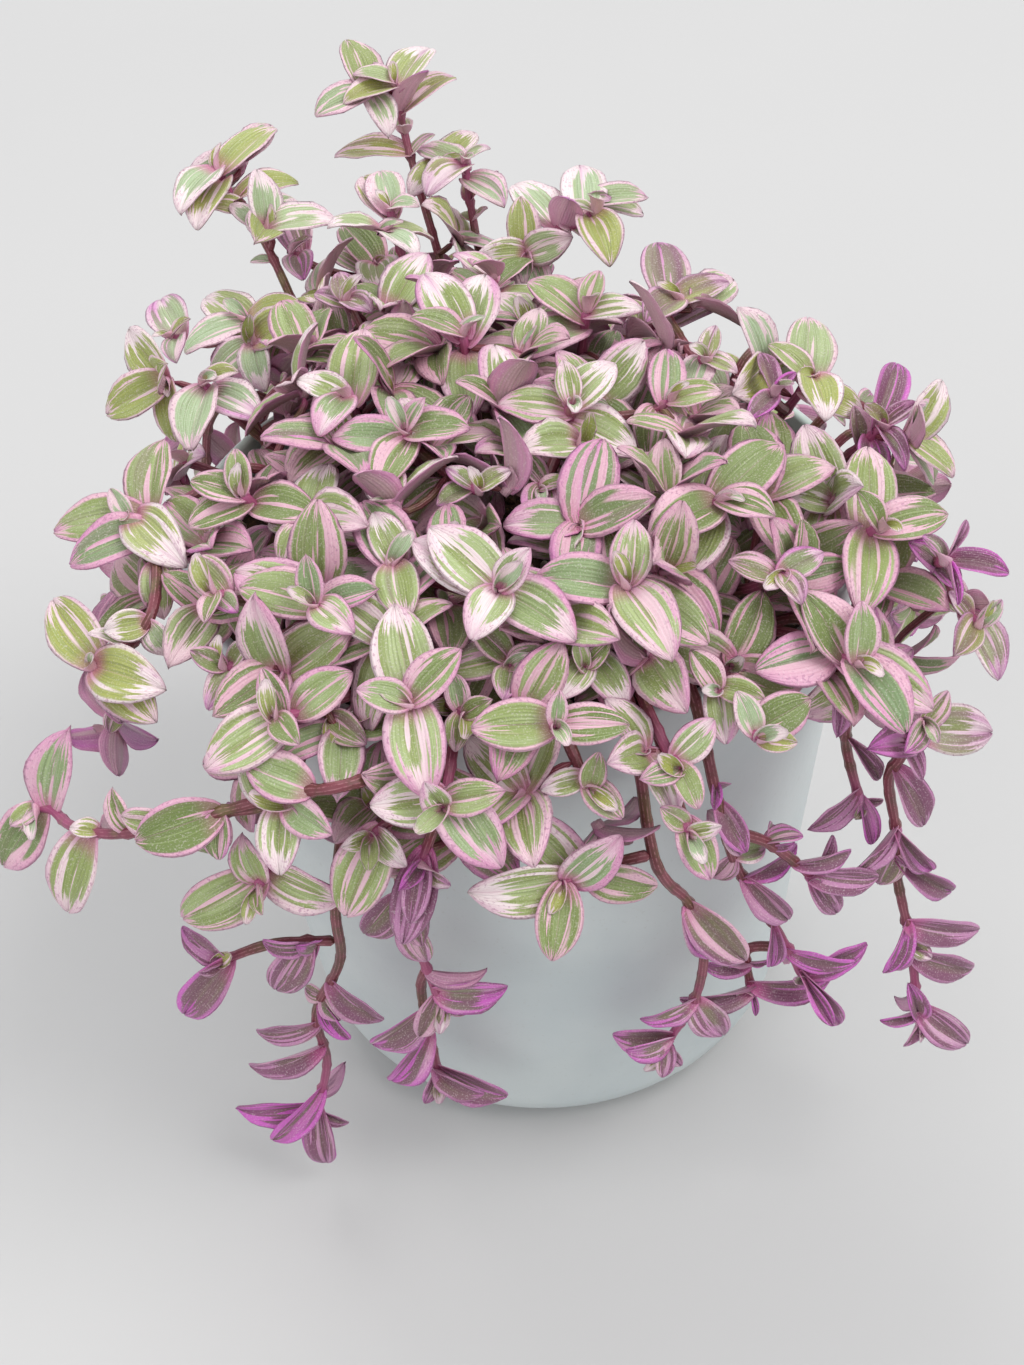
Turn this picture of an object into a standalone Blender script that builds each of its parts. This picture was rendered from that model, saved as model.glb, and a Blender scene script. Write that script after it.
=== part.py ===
"""Potted turtle vine: a pale round pot, its soil, and leafy stems that mound over the rim."""

import itertools
import math
import random
from dataclasses import dataclass, field

import bmesh
import bpy
from mathutils import Matrix, Vector
from mathutils.bvhtree import BVHTree

# The pot, in metres. The origin is the middle of its flat underside.
POT_HEIGHT = 0.170
POT_RIM_RADIUS = 0.085
POT_BASE_RADIUS = 0.071
POT_CORNER = 0.020
POT_WALL = 0.003
SIDES_ROUND = 32
CORNER_STEPS = 4
RIM_STEPS = 4

# The soil fills the pot to a little under the rim, and each stem stands in a plain hole in it
GAP = 0.0003
SOIL_TOP = 0.155
ROOT_DEPTH = 0.010
ROOT_GAP = 0.00045
ROOT_SPACING = 0.0125
ROOT_BED_RADIUS = 0.074
ROOT_SHARE_OF_REACH = 0.60
SPREADING_ROUNDS = 60
MOUTH_HEIGHT = 0.0015

# The mound of foliage is about half an ellipsoid on the pot's axis
MOUND_RADIUS = 0.115
MOUND_RISE = 0.050
MOUND_MIDDLE = 0.166
INNER_SHARE = 0.60

# A stem that hangs goes over the rim and on down outside the wall
OVER_RIM = (0.001, 0.0075)
PAST_RIM = (0.015, -0.004)
LOW_HEART = 0.006
HANGING_HEART = -0.030

# Stems are juicy and jointed; leaves and side shoots grow from their joints
STEM_RADIUS = 0.00135
STEM_TIP_RADIUS = 0.00120
STEM_SIDES = 4
STEM_TOLERANCE = 0.0008
STEM_CLEARANCE = 0.0007
STEM_TRIALS = 72
TRIALS_PER_STRENGTH = 24
ROOT_NUDGE = 0.006
MIDDLE_NUDGE = 0.012
FORK_NUDGE = 0.006
JOINT_SPACING = 0.0115
FORK_SPACING = 0.006
FORK_LENGTH = 0.020
FORK_LENGTH_TO_MARK = 0.010
PARENTS_TRIED = 5
CURVE_STEPS = 24

# A leaf is an egg-shaped blade, folded along its midrib and bent down to its tip
LEAF_LENGTH = 0.0175
LEAF_SHORTEST = 0.0055
LEAF_LONGEST = 0.0225
LEAF_SLENDERNESS = 0.64
LEAF_WIDEST = 0.0125
LEAF_THICKNESS = 0.0012
LEAF_CLEARANCE = 0.00045
LEAF_SWELL = 0.62
LEAF_TAPER = 0.86
LEAF_BEND = (0.35, 0.75)
LEAF_FOLD = (0.30, 0.55)
FOLD_LOST_AT_TIP = 0.55
LEAF_ROWS = (0.20, 0.47, 0.76)
SMALL_LEAF_ROWS = (0.32, 0.68)
SMALL_LEAF = 0.0172
LEAF_STAGGER = 0.0016
TOP_LEAF_DOWN = 0.0006
ROOT_FORWARD = 0.0004
ROOT_SHARE = 0.22
LOWEST_LEAF = 0.003
TURNS = (0, 9, -9, 20, -20, 34, -34)
LIFTS = (0, 12, -12, 24, -24, 38, 52)
SCALES = (1.0, 0.9, 0.8)

# How near a leaf that isn't marked may show to a marked heart that it's in front of, in pixels
HEART_ROOM = 26.0

# How much grows
MOST_LEAVES = 408
MOST_STEMS = 57
FALL_LEAVES = 5
ROSETTE_LEAVES = 4
JOINTS_FILLED = 8

# Joining leaves to a stem leaves tiny facets, of which this share of all can stay
KEPT_FACETS = (0.76, 0.82, 0.88, 0.94)

# The view that the shoots' places are read in: a picture of 1024 by 1365 pixels, seen from the
# front and above. A place in it is a named (x, y) with y down.
VIEW_MIDDLE = (512.0, 682.5)
VIEW_FOCUS = 1517.0
VIEW_DISTANCE = 0.420
VIEW_TARGET = Vector((-0.0054, 0.0, 0.1107))
VIEW_ELEVATION = math.radians(40.74)
VIEW_ROLL = math.radians(-4.49)

UP = Vector((0.0, 0.0, 1.0))


def view_axes():
    """Return the view's place and its forward, right and up directions."""
    forward = Vector((0.0, math.cos(VIEW_ELEVATION), -math.sin(VIEW_ELEVATION)))
    level = Vector((1.0, 0.0, 0.0))
    upright = level.cross(forward)
    right = level * math.cos(VIEW_ROLL) + upright * math.sin(VIEW_ROLL)
    up = upright * math.cos(VIEW_ROLL) - level * math.sin(VIEW_ROLL)
    return VIEW_TARGET - forward * VIEW_DISTANCE, forward, right, up


EYE, VIEW_FORWARD, VIEW_RIGHT, VIEW_UP = view_axes()


def sight(pixel):
    """Return the direction of the sight line through a pixel of the view."""
    across = (pixel[0] - VIEW_MIDDLE[0]) / VIEW_FOCUS
    down = (pixel[1] - VIEW_MIDDLE[1]) / VIEW_FOCUS
    return (VIEW_FORWARD + VIEW_RIGHT * across - VIEW_UP * down).normalized()


def seen_at(place):
    """Return the pixel of the view at which a place shows."""
    away = place - EYE
    depth = away.dot(VIEW_FORWARD)
    return (
        VIEW_MIDDLE[0] + VIEW_FOCUS * away.dot(VIEW_RIGHT) / depth,
        VIEW_MIDDLE[1] - VIEW_FOCUS * away.dot(VIEW_UP) / depth,
    )


def at_level(pixel, level):
    """Return the place on a pixel's sight line that lies at a height above the table."""
    ray = sight(pixel)
    return EYE + ray * ((level - EYE.z) / ray.z)


def on_mound(pixel, rise=0.0):
    """Return where a pixel's sight line meets the mound, or passes it most closely."""
    squeeze = Vector((1.0 / MOUND_RADIUS, 1.0 / MOUND_RADIUS, 1.0 / MOUND_RISE))
    ray = sight(pixel)
    start = (EYE - UP * MOUND_MIDDLE) * squeeze
    step = ray * squeeze
    lead = step.dot(step)
    half = start.dot(step)
    rest = start.dot(start) - 1.0
    inside = max(half * half - lead * rest, 0.0)
    return EYE + ray * ((-half - math.sqrt(inside)) / lead - rise)


def mound_outward(place):
    """Return the direction that points out of the mound at a place."""
    flat = Vector((place.x, place.y, 0.0)) / MOUND_RADIUS**2
    return (flat + UP * ((place.z - MOUND_MIDDLE) / MOUND_RISE**2)).normalized()


def mound_depth(place):
    """Return how far out a place lies: 0 at the mound's middle, 1 on its surface."""
    height = (place.z - MOUND_MIDDLE) / MOUND_RISE
    return math.sqrt((place.x**2 + place.y**2) / MOUND_RADIUS**2 + height**2)


@dataclass
class Shoot:
    """A leafy shoot: where its heart and the tips of its leaves show in the view.

    via holds (x, y, height) of places that the stem passes, from its root on. rise moves the
    heart from the mound towards the eye. A shoot with fork_of grows from another's stem.
    """

    name: str
    heart: tuple = ()
    tips: tuple = ()
    side_tips: tuple = ()
    via: tuple = ()
    level: float = 0.0
    rise: float = 0.0
    rosy: float = 0.2
    fork_of: str = ""
    spot: tuple = ()
    over_rim: bool = False


CREST = (
    Shoot("crest_01", (395, 82), ((439, 36), (343, 103), (353, 73)), ((457, 75), (331, 154), (436, 140)),
          via=((408, 147, 0.218),), level=0.237, rosy=0.40),
    Shoot("crest_02", (216, 168), ((281, 121), (168, 227), (176, 266)), ((299, 182), (231, 214),
          (250, 262)),
          via=((291, 300, 0.196), (261, 235, 0.210)), level=0.222, rosy=0.15),
    Shoot("crest_03", (291, 251), ((286, 210), (283, 283), (312, 236)), rosy=0.65, fork_of="crest_04"),
    Shoot("crest_04", (376, 262), ((309, 237), (438, 282), (335, 212), (398, 300)), rosy=0.15),
    Shoot("crest_05", (389, 207), ((343, 141), (402, 168), (420, 205)), level=0.218, rosy=0.25),
    Shoot("crest_06", (464, 160), ((425, 195), (490, 148), (412, 152), (505, 205)), level=0.216,
          rosy=0.35),
    Shoot("crest_07", (595, 211), ((575, 145), (613, 272), (568, 205)), ((499, 171), (551, 262)),
          via=((523, 275, 0.200), (535, 240, 0.210)), level=0.218, rosy=0.30),
    Shoot("crest_08", (247, 318), ((180, 281), (183, 352), (320, 353), (304, 312)), rosy=0.15),
    Shoot("crest_09", (170, 335), ((160, 298), (176, 362), (190, 318)),
          rosy=0.50, rise=-0.006, fork_of="crest_08"),
    Shoot("crest_10", (202, 382), ((188, 451), (262, 420), (238, 372)), rosy=0.35),
    Shoot("crest_11", (346, 395), ((362, 320), (318, 436), (296, 380)), rosy=0.20),
    Shoot("crest_12", (405, 428), ((331, 436), (470, 428), (380, 492), (425, 398)), rosy=0.15),
    Shoot("crest_13", (462, 333), ((432, 252), (494, 252), (468, 420), (410, 318)), rosy=0.35),
    Shoot("crest_14", (346, 300), ((315, 292), (372, 312), (338, 272)), rosy=0.60, fork_of="crest_04"),
    Shoot("crest_15", (587, 308), ((527, 281), (643, 308), (500, 362), (600, 270)), rosy=0.15),
    Shoot("crest_16", (679, 298), ((655, 241), (645, 322), (706, 262)), ((792, 238), (774, 290)),
          via=((643, 345, 0.198),), rosy=0.60),
    Shoot("crest_17", (706, 358), ((690, 396), (715, 325), (738, 372)), ((726, 392),), rosy=0.45,
          fork_of="crest_16"),
    Shoot("crest_18", (814, 374), ((768, 344), (864, 416), (808, 316), (826, 420)), rosy=0.15),
    Shoot("crest_19", (774, 392), ((762, 352), (748, 420), (796, 372)), rosy=0.85, fork_of="crest_18"),
    Shoot("crest_20", (885, 425), ((897, 362), (918, 402), (874, 490), (905, 470)), rosy=0.80),
    Shoot("crest_21", (571, 402), ((497, 404), (637, 455), (617, 364), (562, 360)), rosy=0.15),
    Shoot("crest_22", (671, 400), ((650, 460), (668, 348), (722, 392)),
          rosy=0.30, rise=-0.006, fork_of="crest_21"),
)

CROWN = (
    Shoot("crown_01", (720, 499), ((650, 540), (780, 443), (776, 515), (684, 580)), ((726, 430),
          (655, 478)),
          rosy=0.15),
    Shoot("crown_02", (881, 527), ((872, 430), (949, 515), (862, 615), (858, 490)), rosy=0.15),
    Shoot("crown_03", (784, 573), ((728, 560), (824, 552), (802, 604)), rosy=0.55),
    Shoot("crown_04", (627, 583), ((533, 579), (635, 519), (675, 659), (709, 645)), ((600, 520),),
          rosy=0.15),
    Shoot("crown_05", (500, 588), ((440, 517), (402, 530), (577, 640), (530, 548), (470, 640)),
          rosy=0.12),
    Shoot("crown_06", (313, 602), ((237, 588), (199, 557), (353, 634), (378, 590), (305, 555)),
          rosy=0.15),
    Shoot("crown_07", (212, 592), ((178, 575), (238, 612), (205, 622)), rosy=0.45, fork_of="crown_06"),
    Shoot("crown_08", (240, 493), ((188, 527), (318, 514), (190, 480), (236, 448)), rosy=0.12),
    Shoot("crown_09", (128, 519), ((161, 439), (174, 576), (52, 534), (110, 488)), rosy=0.30,
          via=((262, 470, 0.196),)),
    Shoot("crown_10", (93, 668), ((52, 598), (156, 722), (165, 690)), ((75, 575), (160, 612)), rosy=0.35,
          fork_of="crown_09", via=((152, 612, 0.190),), level=0.180),
    Shoot("crown_11", (392, 563), ((362, 500), (410, 505), (405, 622)),
          rosy=0.30, rise=-0.008, fork_of="crown_05"),
    Shoot("crown_12", (480, 490), ((445, 468), (512, 470), (436, 505)),
          rosy=0.50, rise=-0.006, fork_of="crest_12"),
    Shoot("crown_13", (540, 490), ((520, 452), (568, 480), (540, 530)), rosy=0.50, rise=-0.008,
          fork_of="crest_21"),
    Shoot("crown_14", (408, 703), ((356, 690), (462, 650), (425, 800), (392, 604)), rosy=0.15),
    Shoot("crown_15", (274, 718), ((204, 770), (353, 672), (262, 668), (298, 745)), rosy=0.12),
    Shoot("crown_16", (289, 803), ((252, 738), (279, 876), (320, 850)), rosy=0.20, fork_of="crown_15"),
    Shoot("crown_17", (256, 890), ((178, 924), (345, 900), (240, 835), (262, 915)), rosy=0.15,
          level=0.146),
    Shoot("crown_18", (442, 808), ((369, 806), (503, 868), (505, 792), (420, 770)), rosy=0.25),
    Shoot("crown_19", (555, 726), ((470, 730), (630, 726), (560, 690)), rosy=0.15),
    Shoot("crown_20", (561, 885), ((511, 802), (623, 836), (658, 888), (466, 893), (552, 962)),
          rosy=0.12),
    Shoot("crown_21", (858, 663), ((755, 672), (804, 590), (945, 712), (905, 735), (862, 600)),
          rosy=0.12),
    Shoot("crown_22", (368, 838), ((345, 918), (388, 880), (340, 850)),
          rosy=0.25, rise=-0.010, fork_of="crown_18"),
    Shoot("crown_23", (420, 866), ((436, 922), (382, 880), (402, 958)), rosy=0.90, rise=-0.008,
          fork_of="crown_18"),
    Shoot("crown_24", (718, 690), ((766, 700), (690, 650), (725, 745)), rosy=0.25, rise=-0.008),
    Shoot("crown_25", (760, 740), ((812, 700), (798, 742), (738, 690)), rosy=0.25, rise=-0.004,
          fork_of="crown_24"),
    Shoot("crown_26", (680, 770), ((716, 720), (640, 778), (698, 810)), rosy=0.25, rise=-0.004),
    Shoot("crown_27", (690, 835), ((712, 880), (660, 808), (722, 826)), rosy=0.35, fork_of="crown_26"),
    Shoot("crown_28", (590, 790), ((540, 790), (622, 820), (600, 752)),
          rosy=0.35, rise=-0.008, fork_of="crown_19"),
    Shoot("crown_29", (510, 668), ((470, 620), (548, 650), (505, 700), (440, 672)),
          rosy=0.45, rise=-0.010, fork_of="crown_05"),
    Shoot("crown_30", (585, 668), ((550, 645), (627, 706), (560, 700), (610, 640)),
          rosy=0.30, rise=-0.008, fork_of="crown_04"),
    Shoot("crown_31", (465, 715), ((452, 672), (492, 700), (455, 752)),
          rosy=0.30, rise=-0.008, fork_of="crown_14"),
    Shoot("crown_32", (222, 668), ((190, 650), (252, 640), (200, 706), (262, 690)),
          rosy=0.50, rise=-0.006, fork_of="crown_06"),
    Shoot("crown_33", (330, 720), ((300, 760), (366, 745), (322, 672)),
          rosy=0.45, rise=-0.010, fork_of="crown_15"),
    Shoot("crown_34", (980, 625), ((949, 592), (1003, 600), (1000, 680), (955, 655)), rosy=0.55,
          level=0.178),
    Shoot("crown_35", (945, 560), ((958, 605), (1010, 572), (968, 520)), rosy=0.95, fork_of="crown_34",
          level=0.190),
)

FALLS = (
    Shoot("left_arm", (36, 806), ((66, 729), (2, 867), (12, 826)),
          ((110, 789), (67, 918), (122, 815), (141, 838), (215, 862), (176, 872), (240, 770)),
          via=((366, 779, 0.178), (300, 792, 0.174), (240, 806, 0.168), (173, 824, 0.162),
               (110, 834, 0.156), (66, 824, 0.152)),
          level=0.149, rosy=0.30),
    Shoot("left_fall_01", (317, 1110), ((291, 1177), (335, 1218), (222, 1108), (335, 1150)),
          ((229, 1071), (256, 1032), (385, 1020), (350, 1040), (270, 1130)),
          via=((338, 880, 0.140), (334, 911, 0.130), (340, 960, 0.106), (316, 1012, 0.080),
               (327, 1061, 0.054)),
          level=0.030, rosy=0.85),
    Shoot("left_fall_02", (218, 962), ((190, 968), (167, 1030), (172, 938)), ((274, 990), (262, 925)),
          via=((271, 944, 0.118),), level=0.112, rosy=0.75, fork_of="left_fall_01"),
    Shoot("left_fall_03", (440, 1000), ((508, 989), (470, 1012), (420, 1038)), ((365, 935), (428, 962)),
          via=((400, 890, 0.136), (415, 940, 0.112)), level=0.090, rosy=0.70),
    Shoot("left_fall_04", (438, 1072), ((494, 1078), (509, 1096), (425, 1104)), ((372, 1045),
          (392, 1082)),
          via=((421, 983, 0.092), (431, 1040, 0.064)), level=0.046, rosy=0.75, fork_of="left_fall_03"),
    Shoot("right_fall_01", (664, 1046), ((612, 1036), (612, 1052), (680, 1070), (662, 1078)),
          ((722, 957), (722, 1037), (744, 950), (640, 1020)),
          via=((654, 857, 0.146), (687, 900, 0.124), (704, 947, 0.102), (694, 1001, 0.076)),
          level=0.056, rosy=0.70),
    Shoot("right_fall_02", (804, 977), ((857, 1042), (873, 962), (830, 1020)),
          ((853, 946), (771, 967), (790, 920), (808, 862), (742, 850)),
          via=((722, 820, 0.150), (740, 872, 0.124), (767, 914, 0.104), (790, 950, 0.090)),
          level=0.080, rosy=0.90),
    Shoot("right_fall_03", (751, 990), ((832, 978), (680, 1010), (756, 1016)), ((700, 960), (770, 960)),
          via=((747, 950, 0.086),), level=0.070, rosy=0.85, fork_of="right_fall_02"),
    Shoot("right_fall_04", (814, 877), ((811, 845), (880, 876), (860, 905)), ((780, 845), (852, 850)),
          via=((762, 840, 0.140),), level=0.118, rosy=0.90, fork_of="right_fall_02"),
    Shoot("right_fall_05", (860, 802), ((809, 830), (880, 815), (872, 845)), ((838, 737), (880, 780)),
          via=((846, 715, 0.164), (846, 745, 0.150)), level=0.132, rosy=0.85, fork_of="crown_21"),
    Shoot("right_fall_06", (918, 1021), ((880, 1022), (901, 988), (909, 1048), (968, 1045)),
          ((952, 893), (933, 862), (884, 974), (988, 933), (973, 970), (916, 780), (850, 874),
          (925, 826)),
          via=((898, 735, 0.160), (889, 775, 0.146), (896, 834, 0.124), (896, 880, 0.108),
               (906, 918, 0.094), (914, 970, 0.076)),
          level=0.060, rosy=0.88),
    Shoot("right_fall_07", (925, 722), ((994, 731), (948, 690), (905, 752)), rosy=0.55, level=0.166),
)

# Shoots behind the mound, where the view doesn't reach, hang over the rim too: angle round the
# pot in degrees, reach from its axis and height of the heart
BACK_FALLS = (
    (62.0, 0.104, 0.112),
    (104.0, 0.106, 0.096),
    (148.0, 0.108, 0.122),
    (14.0, 0.112, 0.104),
    (188.0, 0.112, 0.118),
)

# Elsewhere the mound is filled evenly, from its top down to a little past its widest
FILL_SPACING = 0.030
FILL_TRIALS = 260
FILL_LOWEST = math.radians(103.0)
FILL_INSET = (0.90, 1.0)
FORK_REACH = 0.042
GOLDEN_ANGLE = math.pi * (3.0 - math.sqrt(5.0))

# What fills the mound shows within this outline of its mass in the view. A shoot behind, which
# would stand above it, hangs lower outside the pot.
MASS = (
    (272, 330), (330, 270), (400, 240), (480, 250), (560, 290), (640, 330), (720, 385), (790, 440),
    (860, 450), (900, 490), (925, 560), (930, 640), (890, 680), (800, 690), (750, 735), (690, 800),
    (640, 860), (520, 872), (400, 870), (300, 880), (240, 860), (250, 770), (215, 700), (190, 640),
    (140, 580), (140, 510), (240, 460), (262, 400),
)
LOWERING = 0.003
LOWERINGS = 22
OUTSIDE_RIM = 0.010


@dataclass
class Leaf:
    """One blade: where it grows, where its chord points, its face, size, bend and fold."""

    base: Vector
    chord: Vector
    face: Vector
    length: float
    width: float
    bend: float = 0.5
    fold: float = 0.42
    rosy: float = 0.2
    seed: float = 0.0

    def turned(self, axis, turn, lift, scale):
        """Return this leaf turned about the stem, lifted at its root and scaled."""
        about = Matrix.Rotation(turn, 3, axis)
        chord = about @ self.chord
        face = about @ self.face
        tip_up = Matrix.Rotation(lift, 3, face.cross(chord).normalized() * -1.0)
        return Leaf(self.base, tip_up @ chord, tip_up @ face, self.length * scale,
                    self.width * scale, self.bend, self.fold, self.rosy, self.seed)


def half_width(along):
    """Return a blade's half width at a share of its length, 1 at its widest."""
    widest = LEAF_SWELL / (LEAF_SWELL + LEAF_TAPER)
    return (along / widest) ** LEAF_SWELL * ((1.0 - along) / (1.0 - widest)) ** LEAF_TAPER


def leaf_frame(leaf, along):
    """Return the midrib's place and the blade's normal there."""
    radius = leaf.length / (2.0 * math.sin(leaf.bend / 2.0))
    start = leaf.chord * math.cos(leaf.bend / 2.0) + leaf.face * math.sin(leaf.bend / 2.0)
    rise = leaf.face * math.cos(leaf.bend / 2.0) - leaf.chord * math.sin(leaf.bend / 2.0)
    angle = leaf.bend * along
    place = leaf.base + (start * math.sin(angle) - rise * (1.0 - math.cos(angle))) * radius
    return place, rise * math.cos(angle) + start * math.sin(angle)


def leaf_surface(leaf, along, across):
    """Return the place and normal of the blade's middle surface; across runs from -1 to 1."""
    place, normal = leaf_frame(leaf, along)
    side = leaf.chord.cross(leaf.face)
    reach = leaf.width / 2.0 * half_width(along)
    fold = leaf.fold * (1.0 - FOLD_LOST_AT_TIP * along)
    lift = abs(across) * (0.4 + 0.6 * abs(across))
    out = side * (across * reach * math.cos(fold))
    return place + out + normal * (lift * reach * math.sin(fold)), normal


def blade(leaf, start=0.0, grow=0.0):
    """Return the vertices and faces of a closed blade, split alike on both faces.

    A blade with grow is that much thicker and wider all round, to test its clearance. start is
    the share of its length to leave off at the root.
    """
    half = LEAF_THICKNESS / 2.0 + grow
    side = leaf.chord.cross(leaf.face)
    verts = [leaf_surface(leaf, start, 0.0)[0] + leaf.chord * ROOT_FORWARD]
    rings = []
    for along in LEAF_ROWS if leaf.length > SMALL_LEAF else SMALL_LEAF_ROWS:
        if along < start:
            continue
        left, normal = leaf_surface(leaf, along, -1.0)
        right, normal = leaf_surface(leaf, along, 1.0)
        middle, normal = leaf_surface(leaf, along, 0.0)
        rings.append([len(verts) + i for i in range(4)])
        verts += [left - side * grow, middle + normal * half, right + side * grow, middle - normal * half]
    verts.append(leaf_surface(leaf, 1.0, 0.0)[0] + leaf.chord * grow)
    faces = [(0, rings[0][(i + 1) % 4], corner) for i, corner in enumerate(rings[0])]
    faces += [(corner, rings[-1][(i + 1) % 4], len(verts) - 1) for i, corner in enumerate(rings[-1])]
    for ring, after in zip(rings, rings[1:]):
        for i in range(4):
            nxt = (i + 1) % 4
            if i % 2 == 0:
                faces += [(ring[i], ring[nxt], after[i]), (ring[nxt], after[nxt], after[i])]
            else:
                faces += [(ring[i], ring[nxt], after[nxt]), (ring[i], after[nxt], after[i])]
    return verts, faces


def tube(path, radii, sides=STEM_SIDES):
    """Return the vertices and faces of a closed tube along a path."""
    verts = []
    faces = []
    tangent = (path[1] - path[0]).normalized()
    side = tangent.orthogonal().normalized()
    for index, (place, radius) in enumerate(zip(path, radii)):
        before = path[max(index - 1, 0)]
        after = path[min(index + 1, len(path) - 1)]
        heading = (after - before).normalized()
        side = (side - heading * side.dot(heading)).normalized()
        other = heading.cross(side)
        for corner in range(sides):
            angle = math.tau * corner / sides
            verts.append(place + (side * math.cos(angle) + other * math.sin(angle)) * radius)
    for index in range(len(path) - 1):
        for corner in range(sides):
            low = index * sides + corner
            nxt = index * sides + (corner + 1) % sides
            faces += [(low, nxt, nxt + sides), (low, nxt + sides, low + sides)]
    last = (len(path) - 1) * sides
    faces += [(0, i + 1, i) for i in range(1, sides - 1)]
    faces += [(last, last + i, last + i + 1) for i in range(1, sides - 1)]
    return verts, faces


@dataclass
class Thicket:
    """Everything placed so far, so that what is placed next can keep clear of it."""

    items: list = field(default_factory=list)

    def add(self, verts, faces, owner):
        """Add a solid that belongs to a node."""
        low = Vector([min(v[i] for v in verts) for i in range(3)])
        high = Vector([max(v[i] for v in verts) for i in range(3)])
        self.items.append((BVHTree.FromPolygons(verts, faces), low, high, owner))

    def meets(self, verts, faces, owner, own):
        """Say whether a solid crosses a placed one: of its own node, or of any other."""
        low = Vector([min(v[i] for v in verts) for i in range(3)])
        high = Vector([max(v[i] for v in verts) for i in range(3)])
        tree = None
        for other, other_low, other_high, other_owner in self.items:
            if (other_owner == owner) != own:
                continue
            if any(low[i] > other_high[i] or high[i] < other_low[i] for i in range(3)):
                continue
            tree = tree or BVHTree.FromPolygons(verts, faces)
            if tree.overlap(other):
                return True
        return False


def heart_of(shoot):
    """Return where a shoot's heart is."""
    if shoot.spot:
        return Vector(shoot.spot)
    if shoot.level:
        return at_level(shoot.heart, shoot.level)
    return on_mound(shoot.heart, shoot.rise)


def facing_of(shoot, heart):
    """Return the direction that a shoot's rosette faces."""
    outward = mound_outward(heart)
    if shoot.spot:
        return (outward * 0.65 + UP * 0.35).normalized()
    return (outward * 0.45 + UP * 0.25 - VIEW_FORWARD * 0.45).normalized()


def first_aim(shoot):
    """Return the place that a shoot's stem heads for from the soil: the first it passes."""
    return at_level(shoot.via[0][:2], shoot.via[0][2]) if shoot.via else heart_of(shoot)


def spread_roots(shoots):
    """Return a root for each shoot: further in on its stem's bearing, and apart from the others."""
    roots = []
    for shoot in shoots:
        heart = heart_of(shoot)
        aim = first_aim(shoot)
        reach = math.hypot(heart.x, heart.y)
        bearing = math.atan2(aim.y, aim.x)
        hangs = heart.z < POT_HEIGHT or reach > MOUND_RADIUS
        distance = ROOT_BED_RADIUS if hangs else reach * ROOT_SHARE_OF_REACH
        roots.append(Vector((math.cos(bearing), math.sin(bearing))) * distance)
    for _ in range(SPREADING_ROUNDS):
        for i, one in enumerate(roots):
            for other in roots[i + 1:]:
                apart = one - other
                short = ROOT_SPACING - apart.length
                if short > 0.0:
                    push = apart.normalized() * (short / 2.0)
                    one += push
                    other -= push
        for one in roots:
            if one.length > ROOT_BED_RADIUS:
                one *= ROOT_BED_RADIUS / one.length
    return roots


def smooth_path(places, first, last):
    """Return closely spaced points of a smooth curve through places, with given end directions."""
    tangents = []
    for i, place in enumerate(places):
        before = places[max(i - 1, 0)]
        after = places[min(i + 1, len(places) - 1)]
        tangents.append((after - before) * 0.5)
    tangents[0] = first * (places[1] - places[0]).length
    tangents[-1] = last * (places[-1] - places[-2]).length
    points = [places[0]]
    for i in range(len(places) - 1):
        for step in range(1, CURVE_STEPS + 1):
            t = step / CURVE_STEPS
            a = (1.0 + 2.0 * t) * (1.0 - t) ** 2
            b = t * (1.0 - t) ** 2
            c = t * t * (3.0 - 2.0 * t)
            d = t * t * (t - 1.0)
            points.append(places[i] * a + tangents[i] * b + places[i + 1] * c + tangents[i + 1] * d)
    return points


def straightened(points):
    """Return the fewest of a path's points that keep it within the stem's tolerance."""
    start, end = points[0], points[-1]
    line = (end - start).normalized()
    worst, where = 0.0, 0
    for index in range(1, len(points) - 1):
        away = points[index] - start
        off = (away - line * away.dot(line)).length
        if off > worst:
            worst, where = off, index
    if worst <= STEM_TOLERANCE:
        return [start, end]
    return straightened(points[: where + 1])[:-1] + straightened(points[where:])


def stem_radii(path):
    """Return a stem's radius at each of its joints."""
    return [STEM_RADIUS + (STEM_TIP_RADIUS - STEM_RADIUS) * i / (len(path) - 1) for i in range(len(path))]


@dataclass
class Stem:
    """A shoot's stem, from root to heart, and the node that it belongs to."""

    shoot: Shoot
    node: str
    path: list
    facing: Vector
    rooted: bool


def rim_places(aim):
    """Return places that carry a stem over the rim towards its aim, and down past it."""
    bearing = Vector((aim.x, aim.y, 0.0)).normalized()
    return [bearing * (POT_RIM_RADIUS + out) + UP * (POT_HEIGHT + up) for out, up in (OVER_RIM, PAST_RIM)]


def draw_vector(draw, size, count=3):
    """Return a random vector of 2 or 3 numbers, each up to a size either way."""
    return Vector([draw.uniform(-size, size) for _ in range(count)])


def stem_end(places, heart, facing):
    """Return the way that a stem points at its heart: it turns to the light unless it hangs."""
    last = (places[-1] - places[-2]).normalized()
    if heart.z < POT_HEIGHT + HANGING_HEART:
        return last
    return (facing * 0.6 + last * 0.4).normalized()


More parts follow.
